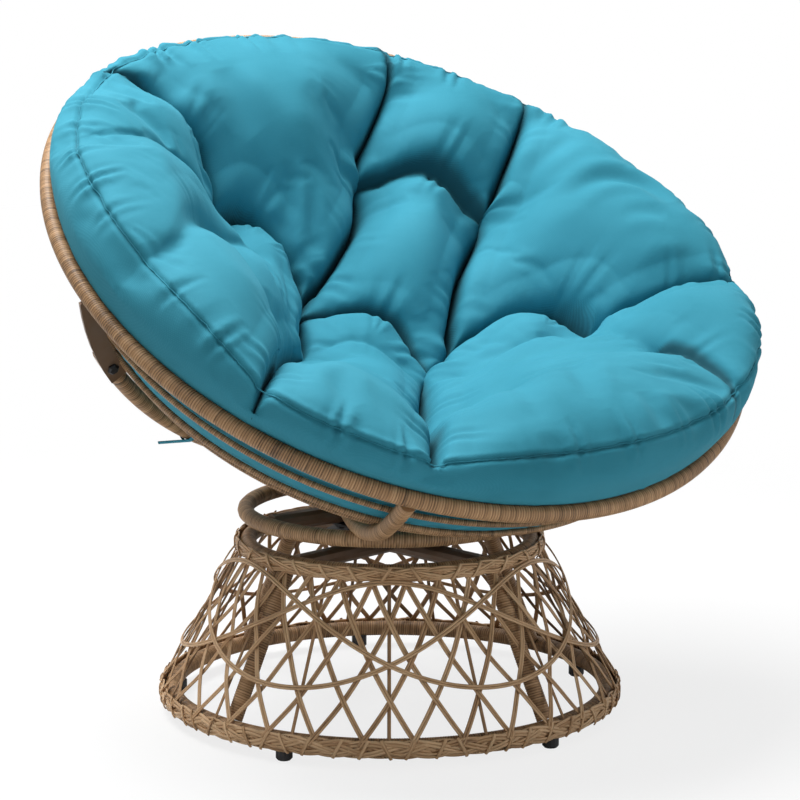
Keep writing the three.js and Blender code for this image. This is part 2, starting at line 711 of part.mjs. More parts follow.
// A point at an angle on the cradle's arc, moved to the front of it and out from the arc's centre
function cradlePlace(angle, front = 0, out = 0) {
  return rimCentre.clone()
    .addScaledVector(rimSideAxis, (arcRadius + out) * Math.sin(angle))
    .addScaledVector(cradleDown, arcCentreDrop + (arcRadius + out) * Math.cos(angle))
    .addScaledVector(cradleFront, front);
}

const cradleEnd = arcAngleAtDrop(cradleStart);
const cradleCurve = new THREE.CatmullRomCurve3(Array.from({ length: cradleSteps + 1 }, (_, i) => (
  cradlePlace(THREE.MathUtils.lerp(-cradleEnd, cradleEnd, i / cradleSteps)))));
const cradleCutter = tubeAlong(cradleCurve, tubeRadius + gap, tubeSides, cradleSteps);
const bracketBoltAngle = arcAngleAtDrop(bracketBoltDrop);

function bracketBoltHole(side) {
  const reach = tubeRadius + bracketThickness + overrun;
  const angle = side * bracketBoltAngle;
  const radius = boltRadius + boltHoleClearance;
  return bar(cradlePlace(angle, -reach), cradlePlace(angle, reach), radius, tubeSides);
}

const cradle = cut(tubeAlong(cradleCurve, tubeRadius, tubeSides, cradleSteps),
  [bracketBoltHole(1), bracketBoltHole(-1)]);
place(seat, 'cradle_tube', cradle, wicker);

function bracket(side) {
  const near = tubeRadius + gap;
  const far = near + bracketThickness;
  const half = bracketWidth / 2;
  const sections = [];
  for (let i = 0; i <= bracketSteps; i += 1) {
    const share = i / bracketSteps;
    const angle = THREE.MathUtils.lerp(arcAngleAtDrop(tubeRadius), arcAngleAtDrop(bracketEnd), share);
    const inset = bracketTopInset * (1 - share) ** 2;
    sections.push([[near, half], [near, -half], [far, -half], [far, half]].map(([front, out]) => (
      cradlePlace(side * angle, front, out - inset))));
  }
  const blank = loft(side > 0 ? sections.reverse() : sections, false);
  return cut(blank, [rimCutter, bracketBoltHole(side)]);
}

function bracketBolt(side) {
  const near = tubeRadius + bracketThickness + 2 * gap;
  const far = -tubeRadius - gap;
  const head = near + boltHeadThickness;
  const nut = far - boltHeadThickness;
  const profile = [
    [0, nut], [bracketBoltHeadRadius, nut], [bracketBoltHeadRadius, far], [boltRadius, far],
    [boltRadius, near], [bracketBoltHeadRadius, near], [bracketBoltHeadRadius, mean(near, head)],
    [bracketBoltHeadRadius * boltCrownShare, head], [0, head],
  ];
  const bolt = turned(profile, boltSides);
  const turn = new THREE.Quaternion().setFromUnitVectors(new THREE.Vector3(0, 0, 1), cradleFront);
  return bolt.applyQuaternion(turn).translate(...cradlePlace(side * bracketBoltAngle).toArray());
}

const sides = { left: -1, right: 1 };
for (const [name, side] of Object.entries(sides)) {
  place(seat, `side_bracket_${name}`, bracket(side), brownSteel);
  place(seat, `bracket_bolt_${name}`, bracketBolt(side), blackSteel);
}

// Ribs from the rim's front, over the seat ring and the cradle, up to the rim's back

function ribCurve(side) {
  const rest = 2 * tubeRadius - ribBite; // between the centrelines of a rib and a tube under it
  const onBowl = (degrees, share) => (
    bowlSurface(side * radians(degrees), share, hoopRadius + tubeRadius - ribBite));
  const upperShares = hoopDepths.slice(0, -1).map(hoopShare);
  const lowestShare = hoopShare(hoopDepths.at(-1));
  return new THREE.CatmullRomCurve3([
    bowlPlace(side * radians(ribFrontDegrees), rimRadius, 0),
    ...upperShares.map((share) => onBowl(ribFrontDegrees, share)),
    polar(side * radians(ribRingDegrees), seatRingRadius, seatRingHeight + rest),
    onBowl(ribLowDegrees[0], lowestShare),
    cradlePlace(side * arcAngleAtSpread(ribCradleSpread), 0, -rest),
    onBowl(ribLowDegrees[1], lowestShare),
    onBowl(ribBendDegrees, ribBendShare),
    ...upperShares.reverse().map((share) => onBowl(ribBackDegrees, share)),
    bowlPlace(side * radians(ribBackDegrees), rimRadius, 0),
  ]);
}

for (const [name, side] of Object.entries(sides)) {
  const rib = tubeAlong(ribCurve(side), tubeRadius, tubeSides, ribSteps);
  place(seat, `rib_${name}`, cut(rib, [rimCutter, seatRingCutter, cradleCutter, ...hoopCutters]), wicker);
}

// Short struts from the back of the seat ring to the cradle

for (const [name, side] of Object.entries(sides)) {
  const foot = polar(side * radians(strutTurnDegrees), seatRingRadius, seatRingHeight);
  const head = cradlePlace(side * arcAngleAtSpread(strutSpread));
  const bite = head.clone().sub(foot).setLength(tubeRadius / 2); // each end reaches this near a tube's axis
  const blank = bar(foot.add(bite), head.sub(bite), tubeRadius, tubeSides);
  place(seat, `rear_strut_${name}`, cut(blank, [seatRingCutter, cradleCutter]), wicker);
}

// Cushion: a thick round pad with eight lobes between sewn channels

// The angle of each column of points round the cushion, how full its lobe is there and how high
function cushionColumns() {
  return lobes.flatMap(({ channel, crown }, i) => {
    const before = lobes[(i + lobes.length - 1) % lobes.length];
    const after = lobes[(i + 1) % lobes.length];
    const end = after.channel + (after.channel < channel ? turnDegrees : 0);
    return lobeColumnShares.map((share) => {
      const other = share < 1 / 2 ? before : after;
      const part = Math.abs(share - 1 / 2); // 0 in the lobe's middle, a half at its channels
      return {
        angle: radians(THREE.MathUtils.lerp(channel, end, share)),
        lobe: Math.sin(share * Math.PI) ** lobeRoundnessShare,
        height: THREE.MathUtils.lerp(crown, other.crown, part),
      };
    });
  });
}

function cushion() {
  const columns = cushionColumns();
  const rings = [];
  const addRing = (pointAt) => (
    rings.push(columns.map(({ angle, lobe, height }) => pointAt(angle, lobe, height))));
  for (const { radius, crown, dip } of topRingShares) {
    const highOf = (height) => THREE.MathUtils.lerp(-cushionCentreDepth, height, crown);
    addRing((angle, lobe, height) => (
      bowlPlace(angle, radius * cushionRadius, dip * channelDepth * (1 - lobe) - highOf(height))));
  }
  for (const { radius, rise, dip } of sideRingShares) {
    addRing((angle, lobe, height) => (
      bowlPlace(angle, cushionRadius * (radius - dip * (1 - lobe)), -rise * seamShare * height)));
  }
  const hug = tubeRadius + cushionClearance;
  for (const around of rimHugDegrees.map(radians)) {
    addRing((angle) => bowlPlace(angle, rimRadius + hug * Math.cos(around), -hug * Math.sin(around)));
  }
  const under = hoopRadius + cushionClearance;
  for (const share of bottomRingShares) {
    addRing((angle) => (
      bowlPlace(angle, share * (bowlRadius - under), (bowlDepth - under) * Math.sqrt(1 - share ** 2))));
  }
  return loft(rings.reverse(), false);
}

place(seat, 'cushion', cushion(), tealCloth);

// Fabric ties that hold the cushion to the cradle: part of a turn round it and a loose tail

function tie(side) {
  const angle = side * arcAngleAtSpread(tieSpreadShare * cradleHalfWidth);
  const around = tubeRadius + tieClearance + tieThickness / 2;
  const centre = cradlePlace(angle);
  const points = [];
  for (let i = 0; i <= tieSteps; i += 1) {
    const turn = mean(0, Math.PI) + (1 - i / tieSteps) * tieTurnShare * 2 * Math.PI;
    points.push(cradlePlace(angle, around * Math.sin(turn), around * Math.cos(turn)));
  }
  const outwards = points.map((point) => point.clone().sub(centre));
  const [before, end] = points.slice(-2);
  points.push(end.clone().add(end.clone().sub(before).setLength(tieTail)));
  outwards.push(outwards[tieSteps]);
  return strand(points, outwards, tieWidth, tieThickness);
}

for (const [name, side] of Object.entries(sides)) {
  place(seat, `cushion_tie_${name}`, tie(side), tealCloth);
}

// Stand the part on the middle of its own floor box
const box = new THREE.Box3().setFromObject(chair, true);
chair.position.y = -mean(box.min.y, box.max.y);

export default chair;
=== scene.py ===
"""Looks of the papasan chair: wound wicker, woven cage, tufted cushion, and the studio round them.

Metres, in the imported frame. Angles are measured from the seat's heading (-Y) towards +X.
"""
from math import acos, asin, atan2, cos, pi, radians, sin, sqrt

import bpy
import numpy as np
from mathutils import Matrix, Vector
from mathutils.bvhtree import BVHTree
from mathutils.kdtree import KDTree
from numpy.linalg import norm


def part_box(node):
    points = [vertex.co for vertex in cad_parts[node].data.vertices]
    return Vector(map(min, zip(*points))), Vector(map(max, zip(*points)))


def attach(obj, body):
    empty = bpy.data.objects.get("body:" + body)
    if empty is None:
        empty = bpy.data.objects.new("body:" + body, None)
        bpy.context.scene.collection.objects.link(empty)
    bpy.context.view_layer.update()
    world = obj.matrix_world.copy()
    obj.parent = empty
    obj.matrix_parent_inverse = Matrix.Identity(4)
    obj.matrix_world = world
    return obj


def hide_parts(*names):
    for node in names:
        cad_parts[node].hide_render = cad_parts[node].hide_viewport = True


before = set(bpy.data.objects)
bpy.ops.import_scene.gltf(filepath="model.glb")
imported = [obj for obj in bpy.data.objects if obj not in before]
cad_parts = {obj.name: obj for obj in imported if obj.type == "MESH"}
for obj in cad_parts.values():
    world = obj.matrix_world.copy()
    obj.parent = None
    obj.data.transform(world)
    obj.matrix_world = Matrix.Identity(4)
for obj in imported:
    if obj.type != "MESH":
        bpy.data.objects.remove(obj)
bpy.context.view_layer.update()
rng = np.random.default_rng(7)
TURN = 2 * pi

# Frame tube and its winding
TUBE, TUBE_SIDES = 0.011, 12
WRAP_PITCH = 0.0034
WRAP_ROWS = 3  # rows of points to a turn, the first of them in the groove
WRAP_GROOVE, WRAP_SWELL = 0.00045, 0.00015
WRAP_SPREAD = 0.16  # how much the turns differ in shade
DARK_WRAP_EVERY, DARK_WRAP = 6, 0.35
# GROOVE_SHADE is painted shade: the grooves between turns are coloured darker
GROOVE_SHADE, END_SHADE = -0.9, -0.2

# Pedestal
AXIS_Y = sum(corner.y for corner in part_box("seat_ring")) / 2
PEDESTAL_TURN = radians(-35.3)
LOWER_RING, LOWER_HEIGHT = 0.299, 0.027
UPPER_RING, UPPER_HEIGHT = 0.194, 0.231
LEGS, LEG_INSET = 4, 0.007
LEG_TURN = radians(45)
LOWER_BAND, UPPER_BAND = 0.025, 0.020
HEM = 0.0133  # from a ring's centreline to the middle of the strands folded over it
CAGE_LOW, CAGE_HIGH = 0.0379, 0.2207
NODES, UPRIGHTS, WAVES = 30, 15, 3
SWEEP = radians(24)
# Widths and thicknesses of the strands, and how far out from the cage's middle they run
DIAGONAL, UPRIGHT, WAVE = (0.0072, 0.0019), (0.005, 0.0018), (0.0068, 0.0018)
HEM_STRAND, HEM_PITCH, HEM_INSET = (0.0066, 0.0018), 0.007, 0.004
DIAGONAL_OUT, UPRIGHT_OUT, WAVE_OUT, WAVE_LAYER = 0.0017, -0.0044, 0.0048, 0.0021
WAVE_MIDDLE, WAVE_SWING = 0.1545, 0.0645
OVERRUN = 0.04  # of the cage's height, by which its strands run into the bands
WOBBLE = 0.006
SHADE_SPREAD = 0.2

# Seat frame
SEAT_RING, SEAT_RING_HEIGHT = 0.197, 0.275
RIM, RIM_HEIGHT, RIM_FORWARD, RIM_TILT = 0.486, 0.620, 0.030, radians(33.9)
BOWL, BOWL_DEPTH = 0.456, 0.251
HOOP, HOOP_DEPTHS = 0.004, tuple(BOWL_DEPTH * share for share in (0.24, 0.42, 0.52, 0.9))
HOOP_SIDES, HOOP_PITCH = 8, 0.003
CRADLE_WIDTH, CRADLE_DEPTH, CRADLE_TILT, CRADLE_START = 0.497, 0.320, radians(27), 0.100
RIB_BITE = 0.002
# Angles at which a rib leaves the rim, crosses the seat ring and the lowest hoop, and climbs the back
RIB_FRONT, RIB_RING, RIB_LOW_FRONT, RIB_LOW_BACK, RIB_BEND, RIB_BACK = (
    radians(degrees) for degrees in (29, 48, 37, 143, 151, 155))
RIB_BEND_SHARE = 0.68  # of the bowl's radius
RIB_SPREAD, STRUT_SPREAD = 0.123, 0.075  # from the middle plane, at the cradle
STRUT_FOOT = radians(160)
LEG_TRIM, STRUT_TRIM, RIB_TRIM = 0.009, 0.006, 8  # metres, metres, and points of the rib's line

# Cushion
CUSHION = 0.490
# Round the rim: angles in degrees, and how high the cushion crowns there above the rim's plane
CROWNS = ((-150, 0.054), (-135, 0.066), (-110, 0.120), (-86, 0.138), (-39.5, 0.086), (9, 0.122), (45, 0.108),
          (60, 0.102), (80, 0.090), (101.5, 0.068), (120, 0.060), (141.5, 0.036), (155, 0.022), (170, 0.030),
          (190, 0.030), (200, 0.040))
# How much the edge rolls down beyond the crown, at angles round the rim
EDGE_ROLLS = ((-150, 1.0), (-125, 0.6), (-108, 0.0), (28, 0.0), (60, 0.8), (90, 1.0))
EDGE_DROP = 0.018
# How far out the edge reaches at angles round the rim, as a share
EDGE_REACHES = ((-172, 0.990), (-155, 1.006), (-122, 1.006), (-105, 1.0), (60, 1.0), (95, 0.990))
EDGE_START = 0.86  # of the cushion's radius
# By share of the radius: the top's least height, and how low its creases and the slots between lobes reach
LEAST_TOP = ((EDGE_START, -0.2), (0.93, 0.0205), (1, 0.0225))
LOWEST_CREASE = ((0, -0.185), (0.5, -0.150), (0.8, -0.060), (0.93, 0.026), (1, 0.031))
LOWEST_SLOT = ((0, -0.225), (0.5, -0.190), (0.8, -0.105), (0.9, -0.040), (0.94, 0.012), (1, 0.018))
SEAT_DEPTH = 0.112


def vec(*values):
    return np.array(values, float)


def unit(values):
    return values / np.maximum(norm(values, axis=-1, keepdims=True), 1e-12)


def polar(angle, radius, height):
    angle, radius, height = np.broadcast_arrays(angle, radius, height)
    return np.stack([radius * np.sin(angle), AXIS_Y - radius * np.cos(angle), height], -1)


# The bowl's frame: centre of the rim's plane and its axes
CENTRE = vec(0, AXIS_Y - RIM_FORWARD, RIM_HEIGHT)
FORWARD = vec(0, -cos(RIM_TILT), -sin(RIM_TILT))
SIDE = vec(1, 0, 0)
UP = vec(0, -sin(RIM_TILT), cos(RIM_TILT))


def from_bowl(right, front, height):
    return right[..., None] * SIDE + front[..., None] * FORWARD + height[..., None] * UP


def bowl_place(angle, radius, height):
    """A point at an angle and radius round the bowl's axis, at a height above the rim's plane."""
    angle, radius, height = np.broadcast_arrays(angle, radius, height)
    return CENTRE + from_bowl(radius * np.sin(angle), radius * np.cos(angle), height)


def outward_at(angle, rise=0):
    """Away from the swivel's axis, with a rise."""
    return polar(angle, 1, rise) - vec(0, AXIS_Y, 0)


def bowl_surface(angle, share, offset):
    """A point of the bowl at a share of its radius, and an offset outwards."""
    radius = share * BOWL
    depth = BOWL_DEPTH * sqrt(max(1 - share ** 2, 0))
    out = unit(vec(radius / BOWL ** 2, depth / BOWL_DEPTH ** 2))
    return bowl_place(angle, radius + offset * out[0], -(depth + offset * out[1]))


# Cradle arc
CRADLE_DOWN = vec(0, sin(CRADLE_TILT), -cos(CRADLE_TILT))
CRADLE_FRONT = vec(0, -cos(CRADLE_TILT), -sin(CRADLE_TILT))
ARC = (CRADLE_WIDTH ** 2 + CRADLE_DEPTH ** 2) / (2 * CRADLE_DEPTH)
ARC_DROP = CRADLE_DEPTH - ARC


def cradle_place(angle, front=0, out=0):
    return (CENTRE + ((ARC + out) * np.sin(angle))[..., None] * SIDE
            + (ARC_DROP + (ARC + out) * np.cos(angle))[..., None] * CRADLE_DOWN + front * CRADLE_FRONT)


# Meshes

def set_all(thing, settings):
    for key, value in settings.items():
        setattr(thing, key, value)


def add_object(name, data):
    made = bpy.data.objects.new(name, data)
    bpy.context.scene.collection.objects.link(made)
    return made


# The per-vertex attribute holds each strand's own tone together with painted shade in grooves, along strand
# edges, beside creases and in the seam.
def add_tone_and_painted_shade(mesh, values):
    mesh.attributes.new("tint", "FLOAT", "POINT").data.foreach_set("value", values.astype(np.float32))


def dress(piece, material):
    piece.data.materials.clear()
    piece.data.materials.append(material)


class Batch:
    """Collects vertices and quads with a tone and painted shade per vertex and a strand coordinate per
    corner.
    """

    def __init__(self):
        self.points, self.quads, self.tints, self.coords, self.count = [], [], [], [], 0

    def add(self, points, quads, tints, coords):
        self.points.append(points.reshape(-1, 3))
        self.quads.append(np.reshape(quads, (-1, 4)) + self.count)
        self.tints.append(tints.reshape(-1))
        self.coords.append(coords.reshape(-1, 2))
        self.count += len(self.points[-1])

    def build(self, name, material):
        quads = np.concatenate(self.quads)
        mesh = bpy.data.meshes.new(name)
        mesh.vertices.add(self.count)
        mesh.vertices.foreach_set("co", np.concatenate(self.points).astype(np.float32).ravel())
        mesh.loops.add(quads.size)
        mesh.loops.foreach_set("vertex_index", quads.ravel().astype(np.int32))
        mesh.polygons.add(len(quads))
        mesh.polygons.foreach_set("loop_start", np.arange(0, quads.size, 4, dtype=np.int32))
        mesh.polygons.foreach_set("use_smooth", np.ones(len(quads), bool))
        add_tone_and_painted_shade(mesh, np.concatenate(self.tints))
        layer = mesh.uv_layers.new(name="Strand")
        layer.data.foreach_set("uv", np.concatenate(self.coords).astype(np.float32).ravel())
        mesh.update(calc_edges=True)
        mesh.validate()
        mesh.materials.append(material)
        return add_object(name, mesh)


def finish_piece(piece, body, slot, *nodes):
    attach(piece, body)
    if nodes:
        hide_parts(*nodes)


def catmull_rom(controls, steps=40):
    """The centripetal curve through the control points."""
    line = [2 * controls[0] - controls[1], *controls, 2 * controls[-1] - controls[-2]]
    out = []
    for p0, p1, p2, p3 in zip(line, line[1:], line[2:], line[3:]):
        d0, d1, d2 = (max(norm(b - a), 1e-9) ** 0.5 for a, b in ((p0, p1), (p1, p2), (p2, p3)))
        m1 = ((p1 - p0) / d0 - (p2 - p0) / (d0 + d1) + (p2 - p1) / d1) * d1
        m2 = ((p2 - p1) / d1 - (p3 - p1) / (d1 + d2) + (p3 - p2) / d2) * d1
        for t in np.linspace(0, 1, steps, endpoint=False):
            out.append((2 * t ** 3 - 3 * t ** 2 + 1) * p1 + (t ** 3 - 2 * t ** 2 + t) * m1
                       + (3 * t ** 2 - 2 * t ** 3) * p2 + (t ** 3 - t ** 2) * m2)
    return np.array(out + [controls[-1]])


def arc_lengths(points):
    return np.concatenate([[0], np.cumsum(norm(np.diff(points, axis=0), axis=1))])


def wound_tube(batch, points, up, radius=TUBE, closed=False, sides=TUBE_SIDES, pitch=WRAP_PITCH):
    """A tube wound with flat strand. Its grid follows the winding, so the grooves lie on its edges."""
    if closed:
        points = np.concatenate([points, points[:1]])
    along = arc_lengths(points)
    length = along[-1]
    wraps = max(int(round(length / pitch)), 2)
    pitch = length / wraps
    total = wraps * WRAP_ROWS if closed else (wraps + 1) * WRAP_ROWS + 1

    def kept(where):
        return np.mod(where, length) if closed else np.clip(where, 0, length)

    def line_at(where):
        return np.stack([np.interp(kept(where), along, column) for column in points.T], -1)

    i = np.arange(total)[:, None]
    j = np.arange(sides)[None, :]
    where = kept(pitch * (i / WRAP_ROWS + j / sides - (0 if closed else 1)))
    step = 0.002
    tangent = unit(line_at(where + step) - line_at(where - step))
    across = unit(np.cross(tangent, np.broadcast_to(up, tangent.shape)))
    over = np.cross(across, tangent)
    angle = TURN * j / sides
    is_groove = i % WRAP_ROWS == 0
    size = radius + np.where(is_groove, -WRAP_GROOVE, WRAP_SWELL)
    ring = np.cos(angle)[..., None] * across + np.sin(angle)[..., None] * over
    grid = line_at(where) + size[..., None] * ring
    shade = rng.normal(0, WRAP_SPREAD, wraps + 2)
    shade[::DARK_WRAP_EVERY] -= DARK_WRAP
    # Painted shade in the grooves between turns, added to each turn's own tone
    tint = np.where(is_groove, GROOVE_SHADE, 0) + shade[i // WRAP_ROWS % wraps]
    row = i if closed else i[:-1]
    a = row * sides + j
    right = a + 1 + (j == sides - 1) * (WRAP_ROWS - 1) * sides
    count = total * sides
    quads = np.stack([a, right, right + sides, a + sides], -1) % count
    keep = closed | (right + sides < count)
    u = (row // WRAP_ROWS + j / sides) * TURN * radius
    v = row % WRAP_ROWS * pitch / WRAP_ROWS
    coords = corner_coords(u, u + TURN * radius / sides, v, v + pitch / WRAP_ROWS)
    batch.add(grid, quads[keep], np.broadcast_to(tint, grid.shape[:2]), coords[keep])
    if not closed:
        cap_ends(batch, points, across, over, radius, sides)


def corner_coords(u0, u1, v0, v1):
    u0, u1, v0, v1 = np.broadcast_arrays(u0, u1, v0, v1)
    return np.stack([np.stack(corner, -1) for corner in ((u0, v0), (u1, v0), (u1, v1), (u0, v1))], 2)


def cap_ends(batch, points, across, over, radius, sides):
    """Flat ends on an open tube."""
    angle = TURN * np.arange(sides)[:, None] / sides
    quads = [[k, k + 1, sides - 2 - k, sides - 1 - k] for k in range(sides // 2 - 1)]
    for end in (0, -1):
        ring = points[end] + radius * (np.cos(angle) * across[end, 0] + np.sin(angle) * over[end, 0])
        batch.add(ring, quads, np.full(sides, END_SHADE), np.zeros((len(quads) * 4, 2)))


# Sections of a strand and of two side by side, in half widths and half thicknesses, and their painted shade
# and highlight: darker at the edges, beneath and in the groove between two, a little lighter on top
STRAND = np.array([(-1, 0), (-0.75, 1), (0, 1.2), (0.75, 1), (1, 0), (0.7, -1), (-0.7, -1)])
PAIR = np.array([(-1, 0), (-0.86, 0.9), (-0.5, 1.25), (-0.14, 0.9), (0, -0.5), (0.14, 0.9), (0.5, 1.25),
                 (0.86, 0.9), (1, 0), (0.7, -1), (-0.7, -1)])
PAIR_PAINTED_SHADING = np.array([-0.3, 0, 0.1, 0, -1.1, 0, 0.1, 0, -0.3, -0.5, -0.5])
STRAND_PAINTED_SHADING = np.array([-0.3, 0, 0.1, 0, -0.3, -0.5, -0.5])


def strip(batch, points, outward, width, thickness, pair=True, closed=False, shade=0.0, twist=None):
    """A flat strand, or two side by side, along points, facing outward."""
    outward = unit(outward)
    section, tint = (PAIR, PAIR_PAINTED_SHADING) if pair else (STRAND, STRAND_PAINTED_SHADING)
    along = unit(np.roll(points, -1, 0) - np.roll(points, 1, 0) if closed else np.gradient(points, axis=0))
    side = unit(np.cross(outward, along))
    out = np.cross(along, side)
    if twist is not None:
        c, s = np.cos(twist)[:, None], np.sin(twist)[:, None]
        side, out = c * side + s * out, c * out - s * side
    n, m = len(points), len(section)
    grid = (points[:, None] + section[None, :, :1] * (width / 2) * side[:, None]
            + section[None, :, 1:] * (thickness / 2) * out[:, None])
    halves = np.where(section[:, 0] < 0, *rng.normal(0, SHADE_SPREAD, 2))
    # Painted shading across the section, added to each strand's own tone
    tints = np.broadcast_to(tint + halves + shade, (n, m))
    i = np.arange(n if closed else n - 1)[:, None]
    j = np.arange(m)[None, :]
    here, ahead, beside = i * m, (i + 1) % n * m, (j + 1) % m
    quads = np.stack([here + j, ahead + j, ahead + beside, here + beside], -1)
    closing = 0.01
    length = arc_lengths(points)
    length = np.append(length, length[-1] + closing)
    across = np.append(section[:, 0], section[0, 0]) * width / 2
    length = length + rng.uniform(0, 5)
    batch.add(grid, quads, tints, corner_coords(length[i], length[i + 1], across[j], across[j + 1]))


# Materials

def shader(name, roughness=0.5, metallic=0.0):
    """A material, its tree, its base, and the place on the piece."""
    material = bpy.data.materials.new(name)
    material.use_nodes = True
    tree = material.node_tree
    base = connect(tree, tree.nodes["Principled BSDF"], {"Roughness": roughness, "Metallic": metallic})
    return material, tree, base, node(tree, "ShaderNodeTexCoord").outputs["Object"]


def connect(tree, made, inputs):
    """Gives a node's inputs their links or values."""
    for key, value in inputs.items():
        if isinstance(value, bpy.types.NodeSocket):
            tree.links.new(value, made.inputs[key])
        else:
            made.inputs[key].default_value = value
    return made


def node(tree, kind, inputs=None, **settings):
    made = tree.nodes.new(kind)
    set_all(made, settings)
    return connect(tree, made, inputs or {})


def noise(tree, vector, scale, detail=3.0, roughness=0.55):
    return node(tree, "ShaderNodeTexNoise", {"Vector": vector, "Scale": scale, "Detail": detail,
                                             "Roughness": roughness}).outputs["Fac"]


def maths(tree, operation, a, b=0.0, clamp=False):
    return node(tree, "ShaderNodeMath", {0: a, 1: b}, operation=operation, use_clamp=clamp).outputs[0]


def scaled_sum(tree, value, scale, start):
    return node(tree, "ShaderNodeMath", {0: value, 1: scale, 2: start}, operation="MULTIPLY_ADD").outputs[0]


def weighted_sum(tree, total, *terms):
    """Values times their shares, added up and kept between 0 and 1."""
    for value, share in terms:
        total = scaled_sum(tree, value, share, total)
    return maths(tree, "ADD", total, 0.0, True)


def stretched(tree, vector, scale):
    return node(tree, "ShaderNodeMapping", {"Vector": vector, "Scale": scale}).outputs[0]


def ramp(tree, value, stops):
    made = node(tree, "ShaderNodeValToRGB", {"Fac": value})
    elements = made.color_ramp.elements
    while len(elements) < len(stops):
        elements.new(0.5)
    for element, (place, colour) in zip(elements, stops):
        element.position = place
        element.color = (*colour, 1)
    return made.outputs["Color"]


def bump(tree, height, strength, distance):
    settings = {"Height": height, "Strength": strength, "Distance": distance}
    return node(tree, "ShaderNodeBump", settings).outputs[0]


def wicker_material(name, dark, middle, light):
    """Resin strand: brown-tan, each one a little different, streaked along its length, with painted shade
    from the attribute in its grooves and along its edges.
    """
    streaks, patches = (30, 1400, 1), 9.0
    tone_and_painted_shade_share, streak_share, patch_share = 0.3, 0.9, 0.5
    smoothest, roughening = 0.38, 0.3
    material, tree, base, place = shader(name)
    tint = node(tree, "ShaderNodeAttribute", attribute_name="tint").outputs["Fac"]
    strand = node(tree, "ShaderNodeUVMap", uv_map="Strand").outputs[0]
    streak = noise(tree, stretched(tree, strand, streaks), 1.0, 4)
    patch = noise(tree, place, patches, 3)
    start = 0.5 - (streak_share + patch_share) / 2
    value = weighted_sum(tree, start, (tint, tone_and_painted_shade_share), (streak, streak_share), (patch, patch_share))
    connect(tree, base, {
        "Base Color": ramp(tree, value, [(0.1, dark), (0.5, middle), (0.9, light)]),
        "Roughness": scaled_sum(tree, patch, roughening, smoothest),
        "Normal": bump(tree, streak, 0.5, 0.0003),
        "Specular IOR Level": 0.4,
    })
    return material


def steel_material(name, colour, roughness, metallic, wear):
    """Painted steel: a fine orange-peel, rubbed lighter in patches."""
    patches, peel = 14.0, 900.0
    smoother, roughening = 0.12, 0.25
    material, tree, base, place = shader(name, roughness, metallic)
    patch = noise(tree, place, patches, 5)
    fine = noise(tree, place, peel, 2)
    lighter = tuple(c + wear for c in colour)
    connect(tree, base, {
        "Base Color": ramp(tree, patch, [(0.35, colour), (0.75, lighter)]),
        "Roughness": scaled_sum(tree, patch, roughening, roughness - smoother),
        "Normal": bump(tree, fine, 0.15, 0.0002),
    })
    return material


def cloth_material(name, shade, colour, light):
    """Woven polyester: a fine plain weave, slightly mottled, with a soft sheen, and painted shade from the
    attribute in creases and along the seam.
    """
    patches, slubs = 5.0, (40, 900, 900)
    patch_share, weave_share, slub_share, tone_and_painted_shade_share = 0.7, 0.12, 0.14, 0.8
    painted_shade_factor = 0.35
    material, tree, base, place = shader(name, 0.82)
    threads = {"Vector": place, "Scale": 260.0, "Distortion": 1.2, "Detail": 2.0}
    warp = node(tree, "ShaderNodeTexWave", threads, bands_direction="X").outputs["Fac"]
    weft = node(tree, "ShaderNodeTexWave", threads, bands_direction="DIAGONAL").outputs["Fac"]
    weave = maths(tree, "MULTIPLY", warp, weft)
    slub = noise(tree, stretched(tree, place, slubs), 1.0, 2)
    patch = noise(tree, place, patches, 4)
    tint = node(tree, "ShaderNodeAttribute", attribute_name="tint").outputs["Fac"]
    value = weighted_sum(tree, 0.0, (patch, patch_share), (weave, weave_share), (slub, slub_share),
                         (tint, tone_and_painted_shade_share))
    # The deepest stop is painted shade: the attribute darkens creases and the seam's groove down to it
    deep = tuple(painted_shade_factor * c for c in shade)
    connect(tree, base, {
        "Base Color": ramp(tree, value, [(0.0, deep), (0.3, shade), (0.5, colour), (0.8, light)]),
        "Normal": bump(tree, maths(tree, "ADD", weave, slub), 0.35, 0.0003),
        "Sheen Weight": 0.12,
        "Sheen Roughness": 0.6,
        "Sheen Tint": (0.25, 0.75, 0.9, 1),
        "Specular IOR Level": 0.2,
    })
    return material


def plastic_material(name, colour):
    """Moulded plastic: a fine grain, scuffed lighter in spots."""
    grains, scuffs, scuffed = 500.0, 60.0, 2.2
    material, tree, base, place = shader(name)
    grain = noise(tree, place, grains, 3)
    scuff = noise(tree, place, scuffs, 4)
    lighter = tuple(scuffed * c for c in colour)
    connect(tree, base, {
        "Base Color": ramp(tree, scuff, [(0.4, colour), (0.8, lighter)]),
        "Normal": bump(tree, grain, 0.3, 0.0003),
    })
    return material


wicker = wicker_material("resin_wicker", (0.060, 0.030, 0.012), (0.43, 0.245, 0.115), (0.74, 0.50, 0.29))
brown_steel = steel_material("brown_steel", (0.150, 0.082, 0.040), 0.42, 0.25, 0.05)
black_steel = steel_material("black_steel", (0.012, 0.012, 0.013), 0.42, 0.5, 0.02)
bright_steel = steel_material("bright_steel", (0.55, 0.55, 0.56), 0.25, 1.0, 0.1)
black_plastic = plastic_material("black_plastic", (0.012, 0.012, 0.013))
teal = cloth_material("teal_fabric", (0.024, 0.215, 0.295), (0.036, 0.260, 0.355), (0.053, 0.305, 0.412))


# Wound frame tubes

def turn(count):
    """Angles once round."""
    return np.linspace(0, TURN, count, endpoint=False)


def arc_angle(spread):
    return asin(spread / ARC)


def hoop_share(depth):
    return sqrt(1 - (depth / BOWL_DEPTH) ** 2)


